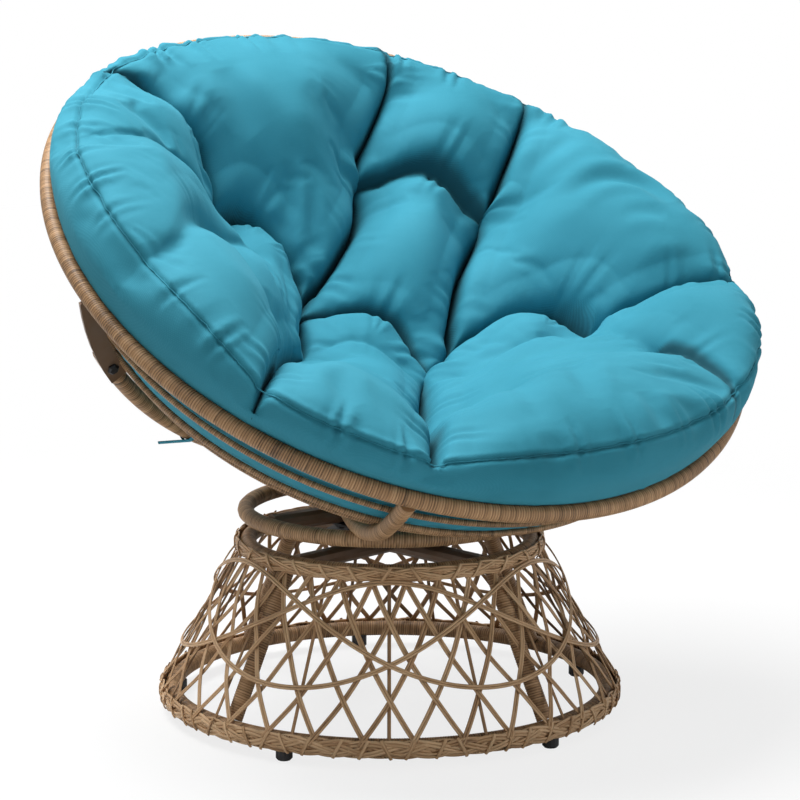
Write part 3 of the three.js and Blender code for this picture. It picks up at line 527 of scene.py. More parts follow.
def rib_line(side):
    rest = 2 * TUBE - RIB_BITE
    bite = HOOP + TUBE - RIB_BITE
    upper = [hoop_share(depth) for depth in HOOP_DEPTHS[:-1]]
    lowest = hoop_share(HOOP_DEPTHS[-1])
    return catmull_rom([
        bowl_place(side * RIB_FRONT, RIM, 0),
        *[bowl_surface(side * RIB_FRONT, share, bite) for share in upper],
        polar(side * RIB_RING, SEAT_RING, SEAT_RING_HEIGHT + rest),
        bowl_surface(side * RIB_LOW_FRONT, lowest, bite),
        cradle_place(side * arc_angle(RIB_SPREAD), 0, -rest),
        bowl_surface(side * RIB_LOW_BACK, lowest, bite),
        bowl_surface(side * RIB_BEND, RIB_BEND_SHARE, bite),
        *[bowl_surface(side * RIB_BACK, share, bite) for share in reversed(upper)],
        bowl_place(side * RIB_BACK, RIM, 0),
    ])


def woven(batch, name, ending, body="base"):
    finish_piece(batch.build(f"{name}_{ending}", wicker), body, "resin_wicker", name)


def wound_piece(name, body, line, up, closed=False, radius=TUBE, **settings):
    batch = Batch()
    wound_tube(batch, line, up, radius, closed, **settings)
    woven(batch, name, "wound", body)


def between(start, end, trim):
    direction = unit(end - start)
    return np.linspace(start + trim * direction, end - trim * direction, 40)


def frame_tubes():
    upright = vec(0, 0, 1)
    wound_piece("base_lower_ring", "base", polar(turn(240), LOWER_RING, LOWER_HEIGHT), upright, True)
    wound_piece("base_upper_ring", "base", polar(turn(240), UPPER_RING, UPPER_HEIGHT), upright, True)
    for i in range(LEGS):
        angle = LEG_TURN + i * TURN / LEGS + PEDESTAL_TURN
        foot = polar(angle, LOWER_RING - LEG_INSET, LOWER_HEIGHT)
        head = polar(angle, UPPER_RING - LEG_INSET, UPPER_HEIGHT)
        wound_piece(f"leg_{i + 1}", "base", between(foot, head, LEG_TRIM), outward_at(angle + TURN / 4))
    wound_piece("seat_ring", "seat", polar(turn(240), SEAT_RING, SEAT_RING_HEIGHT), upright, True)
    wound_piece("bowl_rim", "seat", bowl_place(turn(400), RIM, 0), UP, True)
    for i, depth in enumerate(HOOP_DEPTHS):
        line = bowl_place(turn(300), BOWL * hoop_share(depth), -depth)
        wound_piece(f"hoop_{i + 1}", "seat", line, UP, True, HOOP, sides=HOOP_SIDES, pitch=HOOP_PITCH)
    end = acos((CRADLE_START - ARC_DROP) / ARC)
    wound_piece("cradle_tube", "seat", cradle_place(np.linspace(-end, end, 200)), CRADLE_FRONT)
    for name, side in (("left", -1), ("right", 1)):
        wound_piece(f"rib_{name}", "seat", rib_line(side)[RIB_TRIM:-RIB_TRIM], SIDE)
        foot = polar(side * STRUT_FOOT, SEAT_RING, SEAT_RING_HEIGHT)
        head = cradle_place(side * arc_angle(STRUT_SPREAD))
        wound_piece(f"rear_strut_{name}", "seat", between(foot, head, STRUT_TRIM), SIDE)


# Pedestal wicker

def cage_outward(angle):
    slope = (LOWER_RING - UPPER_RING) / (CAGE_HIGH - CAGE_LOW)
    return unit(outward_at(angle, slope))


def cage_place(angle, share, offset):
    radius = LOWER_RING + HEM + (UPPER_RING - LOWER_RING) * share
    point = polar(angle, radius, CAGE_LOW + (CAGE_HIGH - CAGE_LOW) * share)
    return point + np.asarray(offset)[..., None] * cage_outward(angle)


def cage_lattice():
    """Pairs of strands that cross over and under each other, with single uprights behind them."""
    diagonal_shade, upright_shade = 0.35, -0.3
    batch = Batch()
    share = np.linspace(-OVERRUN, 1 + OVERRUN, 45)
    for i in range(NODES):
        for hand in (1, -1):
            node_angle = (i + 0.5) / NODES * TURN + PEDESTAL_TURN
            wobble = rng.normal(0, WOBBLE) * np.sin(share * pi)
            angle = node_angle + hand * SWEEP * share + wobble
            offset = hand * DIAGONAL_OUT * np.cos(2 * TURN * share)
            points = cage_place(angle, share, offset)
            shade = rng.normal(diagonal_shade, SHADE_SPREAD)
            strip(batch, points, cage_outward(angle), *DIAGONAL, shade=shade)
    for i in range(UPRIGHTS):
        angle = np.full(share.shape, i / UPRIGHTS * TURN + PEDESTAL_TURN)
        points = cage_place(angle, share, UPRIGHT_OUT)
        strip(batch, points, cage_outward(angle), *UPRIGHT, pair=False, shade=upright_shade)
    hem(batch, LOWER_RING + HEM, LOWER_HEIGHT, LOWER_BAND - HEM_INSET)
    hem(batch, UPPER_RING + HEM, UPPER_HEIGHT, UPPER_BAND - HEM_INSET)
    woven(batch, "cage_lattice", "woven")


def hem(batch, radius, height, tall):
    """Strand ends laid side by side over a ring."""
    unevenness, shade, rows = 0.1, -0.5, 3
    count = int(TURN * radius / HEM_PITCH)
    for i in range(count):
        angle = np.full(rows, (i + rng.uniform(-unevenness, unevenness)) / count * TURN)
        z = height + np.linspace(-tall / 2, tall / 2, rows)
        strip(batch, polar(angle, radius, z), outward_at(angle), *HEM_STRAND, shade=shade)


def cage_waves():
    """Three pairs of strands that circle the cage in long waves."""
    shade = 0.5
    for wave in range(WAVES):
        batch = Batch()
        angle = turn(360)
        height = WAVE_MIDDLE + WAVE_SWING * np.cos(2 * (angle - wave / WAVES * pi))
        share = (height - CAGE_LOW) / (CAGE_HIGH - CAGE_LOW)
        turned = angle + PEDESTAL_TURN
        points = cage_place(turned, share, WAVE_OUT + wave * WAVE_LAYER)
        strip(batch, points, cage_outward(turned), *WAVE, closed=True, shade=shade)
        woven(batch, f"cage_wave_{wave + 1}", "strands")


def braid(name, ring, height, tall, repeats, wraps, shade):
    """Long flat strands plaited round a ring into a rounded roll, bound by short wraps."""
    strands, layer, spread = 5, 0.0026, 0.25
    swing, thickness, twist = 0.34 * tall, 0.0022, -0.35
    over, roundness = 0.0016, 0.0014
    wrap_size, wrap_shade, wrap_swell, wrap_lean = (0.0045, 0.0016), 0.6, 0.0030, 0.006
    batch = Batch()
    middle = ring + HEM + layer
    angle = turn(repeats * 30)
    for k in range(strands):
        phase = repeats * angle + k / strands * TURN
        lean = np.sin(phase)
        radius = middle + over * np.cos(2 * phase + k) - roundness * lean ** 2
        strip(batch, polar(angle, radius, height + swing * lean), outward_at(angle), swing, thickness,
              closed=True, shade=rng.normal(shade, spread), twist=twist * lean)
    for i in range(wraps):
        at = (i + rng.uniform(-0.2, 0.2)) / wraps * TURN
        rise = np.linspace(-1, 1, 9)
        across = at + wrap_lean / ring * rise * rng.choice((-1, 1))
        radius = middle + wrap_swell * (1 - rise ** 4)
        points = polar(across, radius, height + tall / 2 * rise)
        strip(batch, points, outward_at(across, 0.6 * rise), *wrap_size, pair=False,
              shade=rng.normal(wrap_shade, spread))
    woven(batch, name, "plait")


def pedestal_wicker():
    cage_lattice()
    cage_waves()
    # The lower band is painted lighter than the upper band, though both are the same strand: painted light
    braid("lower_band", LOWER_RING, LOWER_HEIGHT, LOWER_BAND, repeats=12, wraps=60, shade=0.9)
    braid("upper_band", UPPER_RING, UPPER_HEIGHT, UPPER_BAND, repeats=8, wraps=30, shade=0.5)


# Cushion

# How the top rises from the middle of the seat, at 0, to the lobes' crown, at 1
LOBE_SHARES = (0, 0.12, 0.32, 0.54, 0.66, 0.79, 0.9, 0.97, 1.0)
LOBE_RISES = (0, 0, 0.1, 0.3, 0.66, 0.93, 1.0, 0.97, 0.92)
# How much of a crease's depth there is at the same shares
DIP_SHARES = (0.6, 0.6, 0.75, 1.0, 1.1, 1.0, 0.85, 0.6, 0.4)
CREASE_DEPTH = 0.085
# How much fuller the lobes are than that, at the same shares
FULLNESS = (0.012, 0.018, 0.036, 0.044, 0.032, 0.012, 0.0, 0.0, 0.0)
LOBE_REACH = 0.130
SLACK = 0.013  # how much smaller the pad is before it swells
PINCH_REACH = 0.036  # lobes press together this near to a crease
PINCH_DEPTH = 0.040
PUCKER, PUCKER_FROM, PUCKER_WIDTH = 0.0024, 0.020, 0.024  # its height, and where beside a crease it lies
PAINTED_SHADE_WIDTH = 0.020  # painted shade darkens the cloth this far out from a deep crease
FOLD_LIP = 0.45  # of a fold's depth, how far the cloth beside it stands up
TOP_SHARE = 0.985  # of the cushion's radius, where the top ends and the side begins
# The side, from the top down: shares of the radius and of the edge's height, and what a low edge adds
BOXING = ((0.999, 0.88, 0), (1.012, 0.68, 0), (1.018, 0.44, 0), (1.006, 0.16, 0.012))
# Places on the rim's tube, in degrees, and what a low edge adds, since it laps over the rim's outer side
ON_RIM = ((90, -35), (90, 0), (135, 0), (180, 0))
LOW_EDGE, LOW_EDGE_RANGE = 0.040, 0.015
UNDERSIDE = (0.985, 0.96, 0.92, 0.86, 0.78, 0.68, 0.56, 0.42, 0.28, 0.14, 0.03)
RIM_GAP, BOWL_GAP = 0.0015, 0.006
VOXEL = 0.007
# The underside's sag and wrinkles, how near a hoop holds it, and the depth from which it sags
SAG, SAG_WRINKLE, HOOP_HOLD, SAG_START, SAG_FADE = 0.0035, 0.0014, 0.013, 0.030, 0.015
CLOTH = {
    "quality": 5, "mass": 0.25, "tension_stiffness": 12, "compression_stiffness": 12, "shear_stiffness": 8,
    "bending_stiffness": 1.5, "shrink_min": -0.005, "use_pressure": True, "uniform_pressure_force": 4,
    "pin_stiffness": 1, "vertex_group_mass": "pin"}
CLOTH_FRAMES = 20
MOST_SWELL = 0.016
# Creases between the lobes, from above: how deep each is, and millimetres to the seat's right and forward
CREASES = {
    "back_left": (1.0, [(-285, -405), (-205, -392), (-173, -354), (-140, -323), (-131, -277),
        (-133, -252)]),
    "left_inner": (1.0, [(-133, -252), (-83, -250), (-42, -191), (-36, -151), (-68, -70), (-114, 17)]),
    "back_right": (1.0, [(210, -440), (208, -392), (165, -341), (138, -316), (128, -289)]),
    "back_inner": (1.0, [(128, -289), (111, -237), (47, -172), (-45, -100)]),
    "back_cross": (0.8, [(129, -285), (197, -266), (229, -237), (277, -160)]),
    "right_back": (1.0, [(390, -310), (365, -261), (309, -198), (277, -160)]),
    "right_inner": (1.0, [(277, -160), (201, -87), (161, -32), (120, 31)]),
    "right": (1.0, [(291, 111), (359, 133), (417, 145), (480, 160)]),
    "right_seat": (0.9, [(291, 111), (270, 43), (222, 15), (175, 17), (117, 37), (69, 70)]),
    "front_right": (0.6, [(260, 261), (270, 310), (272, 367), (262, 410)]),
    "seat_lobe": (0.8, [(-62, -75), (-5, -74), (43, -53), (68, -20), (74, 59)]),
    "seat_front": (0.45, [(-114, 17), (-73, 2), (-29, -2), (1, 18), (48, 85)]),
    "front_left": (0.9, [(-114, 17), (-180, 60), (-270, 150), (-360, 240), (-400, 285)]),
    "front": (1.0, [(74, 59), (40, 100), (-20, 175), (-125, 300), (-216, 415)]),
    "left_fold": (0.5, [(-450, -205), (-359, -222), (-244, -226), (-195, -215), (-146, -218)]),
    "left_low": (0.45, [(-485, 72), (-430, 50), (-345, -40), (-250, -110), (-130, -148)]),
    "right_roll": (0.35, [(260, 261), (248, 174), (235, 121), (197, 108), (145, 115), (83, 142)]),
}
# Long folds in the cloth on the lobes, in millimetres: how deep, how wide, and where
FOLDS = (
    (6, 20, [(-85, -403), (-72, -338), (-60, -306)]),
    (7, 11, [(-14, -275), (-31, -197), (-30, -150)]),
    (5, 10, [(-41, -265), (-50, -210), (-52, -165)]),
    (5, 10, [(12, -245), (6, -210), (-6, -170)]),
    (6, 22, [(-100, -329), (-122, -309), (-139, -285)]),
    (10, 15, [(314, -70), (354, -79), (388, -71), (419, -43), (432, 10)]),
    (5, 14, [(316, -163), (355, -171), (395, -182)]),
    (6, 14, [(330, 95), (365, 108), (400, 120)]),
    (4, 12, [(352, 3), (375, 14), (405, 37)]),
    (6, 14, [(64, 199), (10, 270), (-44, 344), (-79, 423)]),
    (7, 14, [(107, 258), (50, 330), (10, 400)]),
    (5, 13, [(88, 400), (86, 466)]),
    (6, 16, [(-260, 250), (-290, 288), (-311, 349)]),
    (6, 18, [(-180, 110), (-240, 170), (-320, 255)]),
    (4, 12, [(149, -264), (198, -237), (233, -205)]),
)


def nearest_on_line(points, line):
    """For each point: distance to a polyline, the nearest place on it and how far along it that is."""
    best = np.full(len(points), np.inf)
    place = np.zeros((len(points), 2))
    reached = np.zeros(len(points))
    passed = 0.0
    for a, b in zip(line, line[1:]):
        span = norm(b - a)
        share = np.clip(((points - a) @ (b - a)) / span ** 2, 0, 1)
        spot = a + share[:, None] * (b - a)
        away = norm(points - spot, axis=1)
        closer = away < best
        best[closer], place[closer] = away[closer], spot[closer]
        reached[closer] = (passed + share * span)[closer]
        passed += span
    return best, place, reached


def smooth_line(line, steps=6):
    """A curve through places given in millimetres."""
    return catmull_rom([vec(x, y) / 1000 for x, y in line], steps)


CREASE_LINES = [(depth, smooth_line(line)) for depth, line in CREASES.values()]


def profile(values, share):
    """A rounded curve through values given at the lobe shares."""
    steps, rounding = 400, 20
    grid = np.linspace(0, 1, steps + 1)
    kernel = np.hanning(2 * rounding + 1)
    padded = np.pad(np.interp(grid, LOBE_SHARES, values), rounding, mode="edge")
    return np.interp(share, grid, np.convolve(padded, kernel / kernel.sum(), "valid"))


def table_at(value, table, **settings):
    places, values = zip(*table)
    return np.interp(value, places, values, **settings)


def round_the_rim(angle, table):
    return table_at(np.degrees(angle), table, period=360)


def edge_share(share):
    """From 0 where the edge begins to 1 at the rim."""
    return np.clip((share - EDGE_START) / (1 - EDGE_START), 0, 1)


def crease_fall(flat):
    """How deep each point lies below its lobe's crown, from 0 to 1: sharp at a crease, round away from it."""
    fullness = np.ones(len(flat))
    for depth, line in CREASE_LINES:
        near = np.clip(nearest_on_line(flat, line)[0] / LOBE_REACH, 0, 1)
        fullness *= 1 - depth * (1 - np.sqrt(1 - (1 - near) ** 2))
    return 1 - fullness


def top_height(flat):
    """Height of the top above the rim's plane."""
    share = np.clip(norm(flat, axis=1) / CUSHION, 0, 1)
    angle = np.arctan2(flat[:, 0], flat[:, 1])
    rise = profile(LOBE_RISES, share) * (round_the_rim(angle, CROWNS) + SEAT_DEPTH) - SEAT_DEPTH
    rise -= EDGE_DROP * edge_share(share) ** 2 * round_the_rim(angle, EDGE_ROLLS)
    rise = np.maximum(rise, table_at(share, LEAST_TOP))
    fuller = profile(FULLNESS, share)
    rise += fuller
    dip = (CREASE_DEPTH * profile(DIP_SHARES, share) + fuller) * crease_fall(flat)
    return np.maximum(rise - dip, np.minimum(rise, table_at(share, LOWEST_CREASE)))


def cushion_base():
    """The pad before it swells: a closed skin, lobes on top and the bowl's shape below."""
    columns, top_rings, first, taper = 320, 96, 0.02, 0.12
    angle = turn(columns)
    around = np.stack([np.sin(angle), np.cos(angle)], -1)
    reach = round_the_rim(angle, EDGE_REACHES)
    rings = []
    for share in np.linspace(first, TOP_SHARE, top_rings):
        slack = SLACK * np.clip((1 - share) / taper, 0, 1)
        out = 1 - (1 - reach) * edge_share(share) ** 2
        height = top_height(share * CUSHION * around) - slack
        rings.append(bowl_place(angle, share * (CUSHION - slack) * out, height))
    hug = TUBE + RIM_GAP
    edge = top_height(TOP_SHARE * CUSHION * around)
    low = np.clip((LOW_EDGE - edge) / LOW_EDGE_RANGE, 0, 1)
    for share, rise, lap in BOXING:
        radius = (share + lap * low) * (CUSHION - SLACK / 3) * reach
        rings.append(bowl_place(angle, radius, hug + rise * (edge - hug)))
    for over, lap in ON_RIM:
        over = np.radians(over + lap * low)
        rings.append(bowl_place(angle, RIM + hug * np.cos(over), hug * np.sin(over)))
    for share in UNDERSIDE:
        depth = (BOWL_DEPTH - BOWL_GAP) * sqrt(1 - share ** 2)
        rings.append(bowl_place(angle, share * (BOWL - BOWL_GAP), -depth))
    points = np.concatenate(rings)
    faces = [(i * columns + j, (i + 1) * columns + j, (i + 1) * columns + (j + 1) % columns,
              i * columns + (j + 1) % columns) for i in range(len(rings) - 1) for j in range(columns)]
    faces.append(tuple(range(columns)))
    faces.append(tuple(range(len(points) - 1, len(points) - 1 - columns, -1)))
    mesh = bpy.data.meshes.new("cushion_soft")
    mesh.from_pydata(points.tolist(), [], faces)
    mesh.update()
    return add_object("cushion_soft", mesh)


def apply_modifier(piece, kind, **settings):
    set_all(piece.modifiers.new(kind.lower(), kind), settings)
    bake_shape(piece)


def bake_shape(piece):
    """Replaces a piece's mesh with what its modifiers show, and takes the modifiers off."""
    bpy.context.view_layer.update()
    graph = bpy.context.evaluated_depsgraph_get()
    made = bpy.data.meshes.new_from_object(piece.evaluated_get(graph))
    piece.modifiers.clear()
    old, piece.data = piece.data, made
    bpy.data.meshes.remove(old)


def vertex_values(piece, key):
    values = np.empty(len(piece.data.vertices) * 3, np.float32)
    piece.data.vertices.foreach_get(key, values)
    return values.reshape(-1, 3).astype(float)


def set_coordinates(piece, points):
    piece.data.vertices.foreach_set("co", points.astype(np.float32).ravel())
    piece.data.update()


def in_bowl(points):
    """Rightward, forward and upward parts of points, in the rim's plane."""
    away = points - CENTRE
    return np.stack([away @ SIDE, away @ FORWARD, away @ UP], -1)


def smoothed(piece, points, weight, times):
    """Points moved towards the mean of their neighbours, each by its own weight."""
    pairs = np.empty(len(piece.data.edges) * 2, np.int32)
    piece.data.edges.foreach_get("vertices", pairs)
    a, b = pairs.reshape(-1, 2).T
    count = np.bincount(a, minlength=len(points)) + np.bincount(b, minlength=len(points))
    for _ in range(times):
        total = np.stack([np.bincount(a, column[b], len(points)) + np.bincount(b, column[a], len(points))
                          for column in points.T], -1)
        points = points + 0.5 * weight[:, None] * (total / np.maximum(count, 1)[:, None] - points)
    return points


def swell(piece):
    """Cloth simulation: the pad fills out between its creases and the bowl."""
    crease_hold, crease_pin, deep, upward, underside, levels = 0.012, 1.25, 0.5, 0.1, -0.15, 10
    rim_zone, edge_from, edge_fade, softenings = 0.016, 0.43, 0.03, 6
    before = vertex_values(piece, "co")
    place = in_bowl(before)
    facing = vertex_values(piece, "normal") @ UP
    near = np.full(len(before), np.inf)
    for depth, line in CREASE_LINES:
        if depth > deep:
            near = np.minimum(near, nearest_on_line(place[:, :2], line)[0])
    pin = np.where(facing > upward, np.clip(crease_pin - near / crease_hold, 0, 1), 0)
    pin = np.where((facing < underside) | (place[:, 2] < rim_zone) & (facing < upward), 1, pin)
    group = piece.vertex_groups.new(name="pin")
    for level in np.linspace(1 / levels, 1, levels):
        chosen = np.where(np.abs(pin - level) < 0.5 / levels)[0]
        group.add(chosen.tolist(), float(level), "REPLACE")
    modifier = piece.modifiers.new("cloth", "CLOTH")
    set_all(modifier.settings, CLOTH)
    modifier.settings.effector_weights.gravity = 0
    modifier.point_cache.frame_start, modifier.point_cache.frame_end = 1, CLOTH_FRAMES
    scene = bpy.context.scene
    for number in range(1, CLOTH_FRAMES + 1):
        scene.frame_set(number)
    bake_shape(piece)
    scene.frame_set(1)
    move = vertex_values(piece, "co") - before
    size = norm(move, axis=1, keepdims=True)
    after = before + move * np.minimum(1, MOST_SWELL / np.maximum(size, 1e-9))
    edge = np.clip((norm(place[:, :2], axis=1) - edge_from) / edge_fade, 0, 1)
    set_coordinates(piece, smoothed(piece, after, edge, softenings))


def uneven(along, start=0.0):
    """A wave along a line whose crests come in bunches, from -1 to 1."""
    crests, bend, bunches, spread = (TURN / length for length in (0.031, 0.083, 0.143, 0.31))
    wave = np.sin(along * crests + 1.9 * np.sin(along * bend + start) + start)
    bunch = 0.5 + 0.5 * np.sin(along * bunches + 2 * start + 1.7 * np.sin(along * spread))
    return wave * bunch ** 1.5


def hump(away, width):
    return np.exp(-(away / width) ** 2)


def crease_cloth(piece):
    """Presses the lobes together at their creases, and lays folds and small puckers in the cloth; returns
    painted shade for the cloth beside deep creases.
    """
    lowest_top, pull, painted_shade_from = -0.18, 0.85, 0.55
    place = in_bowl(vertex_values(piece, "co"))
    facing = vertex_values(piece, "normal") @ UP
    top = np.clip((facing + 0.1) / 0.3, 0, 1) * (place[:, 2] > lowest_top)
    flat, height = place[:, :2].copy(), place[:, 2].copy()
    lowest = table_at(norm(flat, axis=1) / CUSHION, LOWEST_SLOT)
    room = np.clip((height - lowest) / PINCH_DEPTH, 0, 1)
    dark = np.zeros(len(place))
    for number, (depth, line) in enumerate(CREASE_LINES):
        away, spot, along = nearest_on_line(place[:, :2], line)
        near = np.clip(1 - away / PINCH_REACH, 0, 1) * top * min(depth * 1.1, 1)
        flat += (spot - place[:, :2]) * (pull * near)[:, None]
        height -= PINCH_DEPTH * depth ** 2 * near ** 4 * room
        height += PUCKER * uneven(along, number) * hump(away - PUCKER_FROM, PUCKER_WIDTH) * top * depth
        # Painted shade: cloth near a deep crease is marked to be coloured darker
        dark = np.maximum(dark, np.clip(1 - away / PAINTED_SHADE_WIDTH, 0, 1) * top * (depth > painted_shade_from))
    for deep, wide, line in FOLDS:
        deep, wide = deep / 1000, wide / 1000
        away, spot, along = nearest_on_line(place[:, :2], smooth_line(line))
        ends = np.sin(np.clip(along / along.max(), 0.02, 0.98) * pi) ** 0.7
        height += deep * ends * (FOLD_LIP * hump(away - 1.9 * wide, 0.9 * wide) - hump(away, wide)) * top
    set_coordinates(piece, CENTRE + from_bowl(*flat.T, height))
    return dark


def sag_between_hoops(piece):
    """The underside hangs a little between the hoops it rests on, in shallow wrinkles."""
    points = vertex_values(piece, "co")
    place = in_bowl(points)
    depth = -place[:, 2]
    facing = vertex_values(piece, "normal") @ UP
    below = np.clip((depth - SAG_START) / SAG_FADE, 0, 1) * np.clip(-facing / 0.2, 0, 1)
    free = 1 - hump(np.min([np.abs(depth - hoop) for hoop in HOOP_DEPTHS], axis=0), HOOP_HOLD)
    angle = np.arctan2(place[:, 0], place[:, 1])
    wrinkle = uneven(angle * 0.4, 1.0) + 0.6 * uneven(angle * 0.7 + 3 * depth, 4.0)
    out = from_bowl(*unit(place / vec(BOWL ** 2, BOWL ** 2, BOWL_DEPTH ** 2)).T)
    set_coordinates(piece, points + (below * free * (SAG + SAG_WRINKLE * wrinkle))[:, None] * out)


# The seam round the top's edge: angle in degrees and height above the rim's plane
SEAM = (
    (-150, .040), (-116, .088), (-100, .102), (-84, .112), (-77, .113), (-69, .105), (-61, .088), (-56, .068),
    (-53, .056), (-48, .060), (-41, .063), (-34, .058), (-28, .046), (-23, .074), (-14, .094), (0, .104),
    (10, .104), (20, .098), (32, .088), (45, .070), (70, .040), (100, .022), (140, .016), (180, .016),
    (195, .018))
# Where the seam stands out as a folded edge
SEAM_LIPS = ((-66, 0.15), (-56, 1.0), (-28, 1.0), (-20, 0.15))
SEAM_WIDTH, SEAM_DEPTH = 0.0038, 0.0034
SEAM_CORD = (0.0016, 0.0012)
SEAM_RADIUS = 0.480
GATHER, GATHER_ABOVE, GATHER_BELOW = 0.0034, 0.036, 0.022


def seam_path(piece):
    """Places on the cushion's skin along its seam."""
    angle = np.linspace(-pi, pi, 1400, endpoint=False)
    spots = bowl_place(angle, SEAM_RADIUS, ring_smoothed(round_the_rim(angle, SEAM), 25))
    for width in (61, 31, 5):
        spots = ring_smoothed(nearest_skin(piece, spots)[0], width)
    return angle, nearest_skin(piece, spots)[0]


def nearest_skin(piece, places):
    tree = BVHTree.FromObject(piece, bpy.context.evaluated_depsgraph_get())
    found = [tree.find_nearest(Vector(p)) for p in places]
    return np.array([hit[0] for hit in found]), np.array([hit[1] for hit in found])


def ring_smoothed(values, width):
    """A closed line's values, each the mean of its neighbours within a width."""
    shifts = range(-(width // 2), width // 2 + 1)
    return sum(np.roll(values, shift, 0) for shift in shifts) / width


def sew_seam(piece):
    """Draws the cloth in along the seam, with a folded edge over it in front and puckers on both sides; lays
    a cord in painted shade along it and returns painted shade for its groove.
    """
    edge_from, reach, lip_at, lip_width, cord_lift, cord_painted_shade = 0.41, 0.05, 0.006, 0.005, 0.0002, -0.45
    angle, spots = seam_path(piece)
    tree = KDTree(len(spots))
    for i, spot in enumerate(spots):
        tree.insert(spot, i)
    tree.balance()
    points = vertex_values(piece, "co")
    outward = vertex_values(piece, "normal")
    radius = norm(in_bowl(points)[:, :2], axis=1)
    dark = np.zeros(len(points))
    lips = round_the_rim(angle, SEAM_LIPS)
    gather = uneven(angle * CUSHION, 3.0)
    for v in np.where(radius > edge_from)[0]:
        spot, index, away = tree.find(points[v])
        if away < reach:
            above = (points[v] - spot) @ UP > 0
            groove = hump(away, SEAM_WIDTH)
            lip = lips[index] * above * hump(away - lip_at, lip_width)
            pucker = GATHER * gather[index] * hump(away, GATHER_ABOVE if above else GATHER_BELOW)
            points[v] += outward[v] * (SEAM_DEPTH * (lip - groove) + pucker)
            # Painted shade in the seam's groove
            dark[v] = 0.3 * groove
    set_coordinates(piece, points)
    spots, facing = nearest_skin(piece, spots)
    spots, facing = ring_smoothed(spots, 5), unit(ring_smoothed(facing, 9))
    batch = Batch()
    # The cord is coloured darker: painted shade along the seam
    strip(batch, spots + cord_lift * facing, facing, *SEAM_CORD, pair=False, closed=True, shade=cord_painted_shade)
    finish_piece(batch.build("cushion_seam", teal), "seat", "teal_fabric")
    return dark


def cushion():
    piece = cushion_base()
    apply_modifier(piece, "REMESH", mode="VOXEL", voxel_size=VOXEL)
    swell(piece)
    apply_modifier(piece, "SUBSURF", levels=1, render_levels=1)
    sag_between_hoops(piece)
    dark = crease_cloth(piece)
    # Painted shade of the deep creases and the seam's groove, kept in the attribute
    dark = np.maximum(0.8 * dark, sew_seam(piece))
    add_tone_and_painted_shade(piece.data, -dark)
    dress(piece, teal)
    piece.data.polygons.foreach_set("use_smooth", np.ones(len(piece.data.polygons), bool))
    finish_piece(piece, "seat", "teal_fabric", "cushion")


# Ties: how far out they hold the cradle, and where their tails point
TIE_SPREAD = 0.268
TIE, TIE_OUT, TIE_TURNS = (0.009, 0.0014), 0.0131, 0.97  # section, loop's radius and turns
TIE_TAILS = {"left": (-0.0339, 0.0239, -0.0030), "right": (0.012, 0.010, -0.042)}


def ties():
    """A ribbon round the cradle on each side, its tail hanging free."""
    for name, tail in TIE_TAILS.items():
        side = -1 if name == "left" else 1
        angle, pull = side * arc_angle(TIE_SPREAD), vec(*tail)
        middle = cradle_place(angle)
        out = cradle_place(angle, 0, 1) - middle
        last = atan2(out @ pull, -(CRADLE_FRONT @ pull))
        around = np.linspace(last + TIE_TURNS * TURN, last, 30)[:, None]
        facing = np.cos(around) * out + np.sin(around) * CRADLE_FRONT
        loop = middle + TIE_OUT * facing
        free = loop[-1] + np.linspace(0.08, 1, 10)[:, None] * pull
        across = unit(facing[-1] - (facing[-1] @ unit(pull)) * unit(pull))
        outward = np.concatenate([facing, np.tile(across, (len(free), 1))])
        batch = Batch()
        strip(batch, np.concatenate([loop, free]), outward, *TIE, pair=False, shade=-0.1)
        tied = f"cushion_tie_{name}"
        finish_piece(batch.build(tied + "_ribbon", teal), "seat", "teal_fabric", tied)


# Materials on the CAD pieces that stay

def carried_pieces():
    finishes = {"glide": black_plastic, "ball_cage": bright_steel}
    finishes.update(dict.fromkeys(("crossbar", "side_bracket"), brown_steel))
    finishes.update(dict.fromkeys(("bracket_bolt", "plate", "pin"), black_steel))
    for name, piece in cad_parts.items():
        material = next((finish for word, finish in finishes.items() if word in name), None)
        if material:
            dress(piece, material)


# Studio

FLOOR_WHITE = 0.8  # how much of the floor is plain white to the camera
FLOOR_GREY, FLOOR_PALE = 0.75, 0.95  # its colour to the light that it throws back, and to the camera
FLOOR_SIZE, FADE_FROM, FADE_TO = 12, 0.75, 2.2
FILL_LIGHT = 0.15
LAMPS = {  # place, size and power
    "overhead": ((-0.5, 0.7, 3.3), 2.2, 165),
    "key": ((-3.2, -1.6, 2.2), 2.2, 20),
    "fill": ((2.4, -3.8, 0.8), 2.4, 40),
}
LAMP_AIM = Vector((0, 0, 0.45))
CAMERA_PLACE = (-2.1816, AXIS_Y - 3.1053, 1.102)
CAMERA_TURN = (radians(79.92), 0, radians(-35.3))
CAMERA = {"lens": 127.6, "sensor_width": 36, "shift_y": -0.0025}


def reflected(tree, path):
    return maths(tree, "MAXIMUM", path.outputs["Is Glossy Ray"], path.outputs["Is Transmission Ray"])


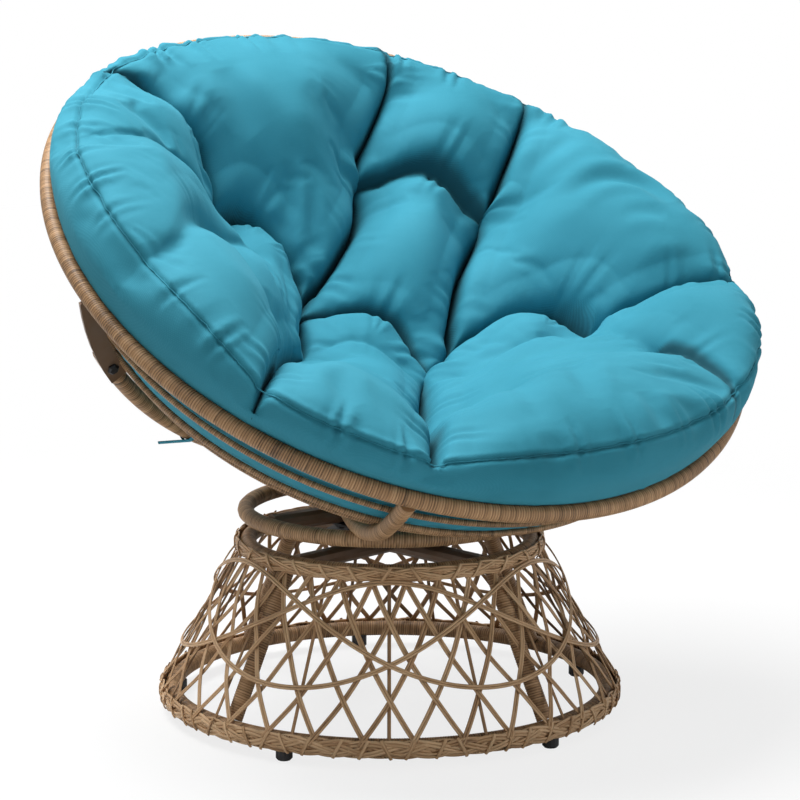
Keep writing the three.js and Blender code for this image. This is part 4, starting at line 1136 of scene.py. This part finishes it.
def pale_floor():
    """Mostly plain white to the camera, with the chair's shadow, fading into the white behind."""
    bpy.ops.mesh.primitive_plane_add(size=FLOOR_SIZE, location=(0, 0, 0))
    floor = bpy.context.object
    floor.name = "floor"
    material, tree, base, place = shader("floor", 0.9)
    away = node(tree, "ShaderNodeVectorMath", {0: place}, operation="LENGTH").outputs["Value"]
    near = node(tree, "ShaderNodeMapRange", {"Value": away, 1: FADE_FROM, 2: FADE_TO, 3: 1.0, 4: 0.0},
                interpolation_type="SMOOTHSTEP").outputs[0]
    path = node(tree, "ShaderNodeLightPath")
    sight = path.outputs["Is Camera Ray"]
    seen = maths(tree, "MAXIMUM", sight, reflected(tree, path))
    colour = ramp(tree, seen, [(0, (FLOOR_GREY,) * 3), (1, (FLOOR_PALE,) * 3)])
    connect(tree, base, {"Base Color": colour, "Alpha": near, "Specular IOR Level": 0})
    glow = node(tree, "ShaderNodeEmission", {"Color": (1, 1, 1, 1), "Strength": 1.0}).outputs[0]
    share = maths(tree, "MULTIPLY", sight, FLOOR_WHITE)
    mixed = node(tree, "ShaderNodeMixShader", {0: share, 1: base.outputs[0], 2: glow}).outputs[0]
    connect(tree, tree.nodes["Material Output"], {"Surface": mixed})
    floor.data.materials.append(material)


def white_world():
    """White to the eye and in reflections, a weak even light otherwise."""
    world = bpy.data.worlds.new("studio")
    bpy.context.scene.world = world
    world.use_nodes = True
    tree = world.node_tree
    tree.nodes.clear()
    path = node(tree, "ShaderNodeLightPath")
    seen = maths(tree, "MAXIMUM", path.outputs["Is Camera Ray"], reflected(tree, path))
    fill = node(tree, "ShaderNodeBackground", {"Color": (1, 1, 1, 1), "Strength": FILL_LIGHT}).outputs[0]
    white = node(tree, "ShaderNodeBackground", {"Color": (1, 1, 1, 1), "Strength": 1.0}).outputs[0]
    mixed = node(tree, "ShaderNodeMixShader", {0: seen, 1: fill, 2: white}).outputs[0]
    node(tree, "ShaderNodeOutputWorld", {"Surface": mixed})


def lamps():
    for name, (place, size, power) in LAMPS.items():
        data = bpy.data.lights.new(name, "AREA")
        set_all(data, {"size": size, "energy": power})
        lamp = add_object(name, data)
        lamp.location = place
        lamp.rotation_euler = (LAMP_AIM - Vector(place)).to_track_quat("-Z", "Y").to_euler()


def camera():
    data = bpy.data.cameras.new("camera")
    eye = add_object("camera", data)
    eye.location = CAMERA_PLACE
    eye.rotation_euler = CAMERA_TURN
    set_all(data, CAMERA)
    bpy.context.scene.camera = eye


frame_tubes()
pedestal_wicker()
cushion()
ties()
carried_pieces()
pale_floor()
white_world()
lamps()
camera()
bpy.context.scene.view_settings.view_transform = "Standard"
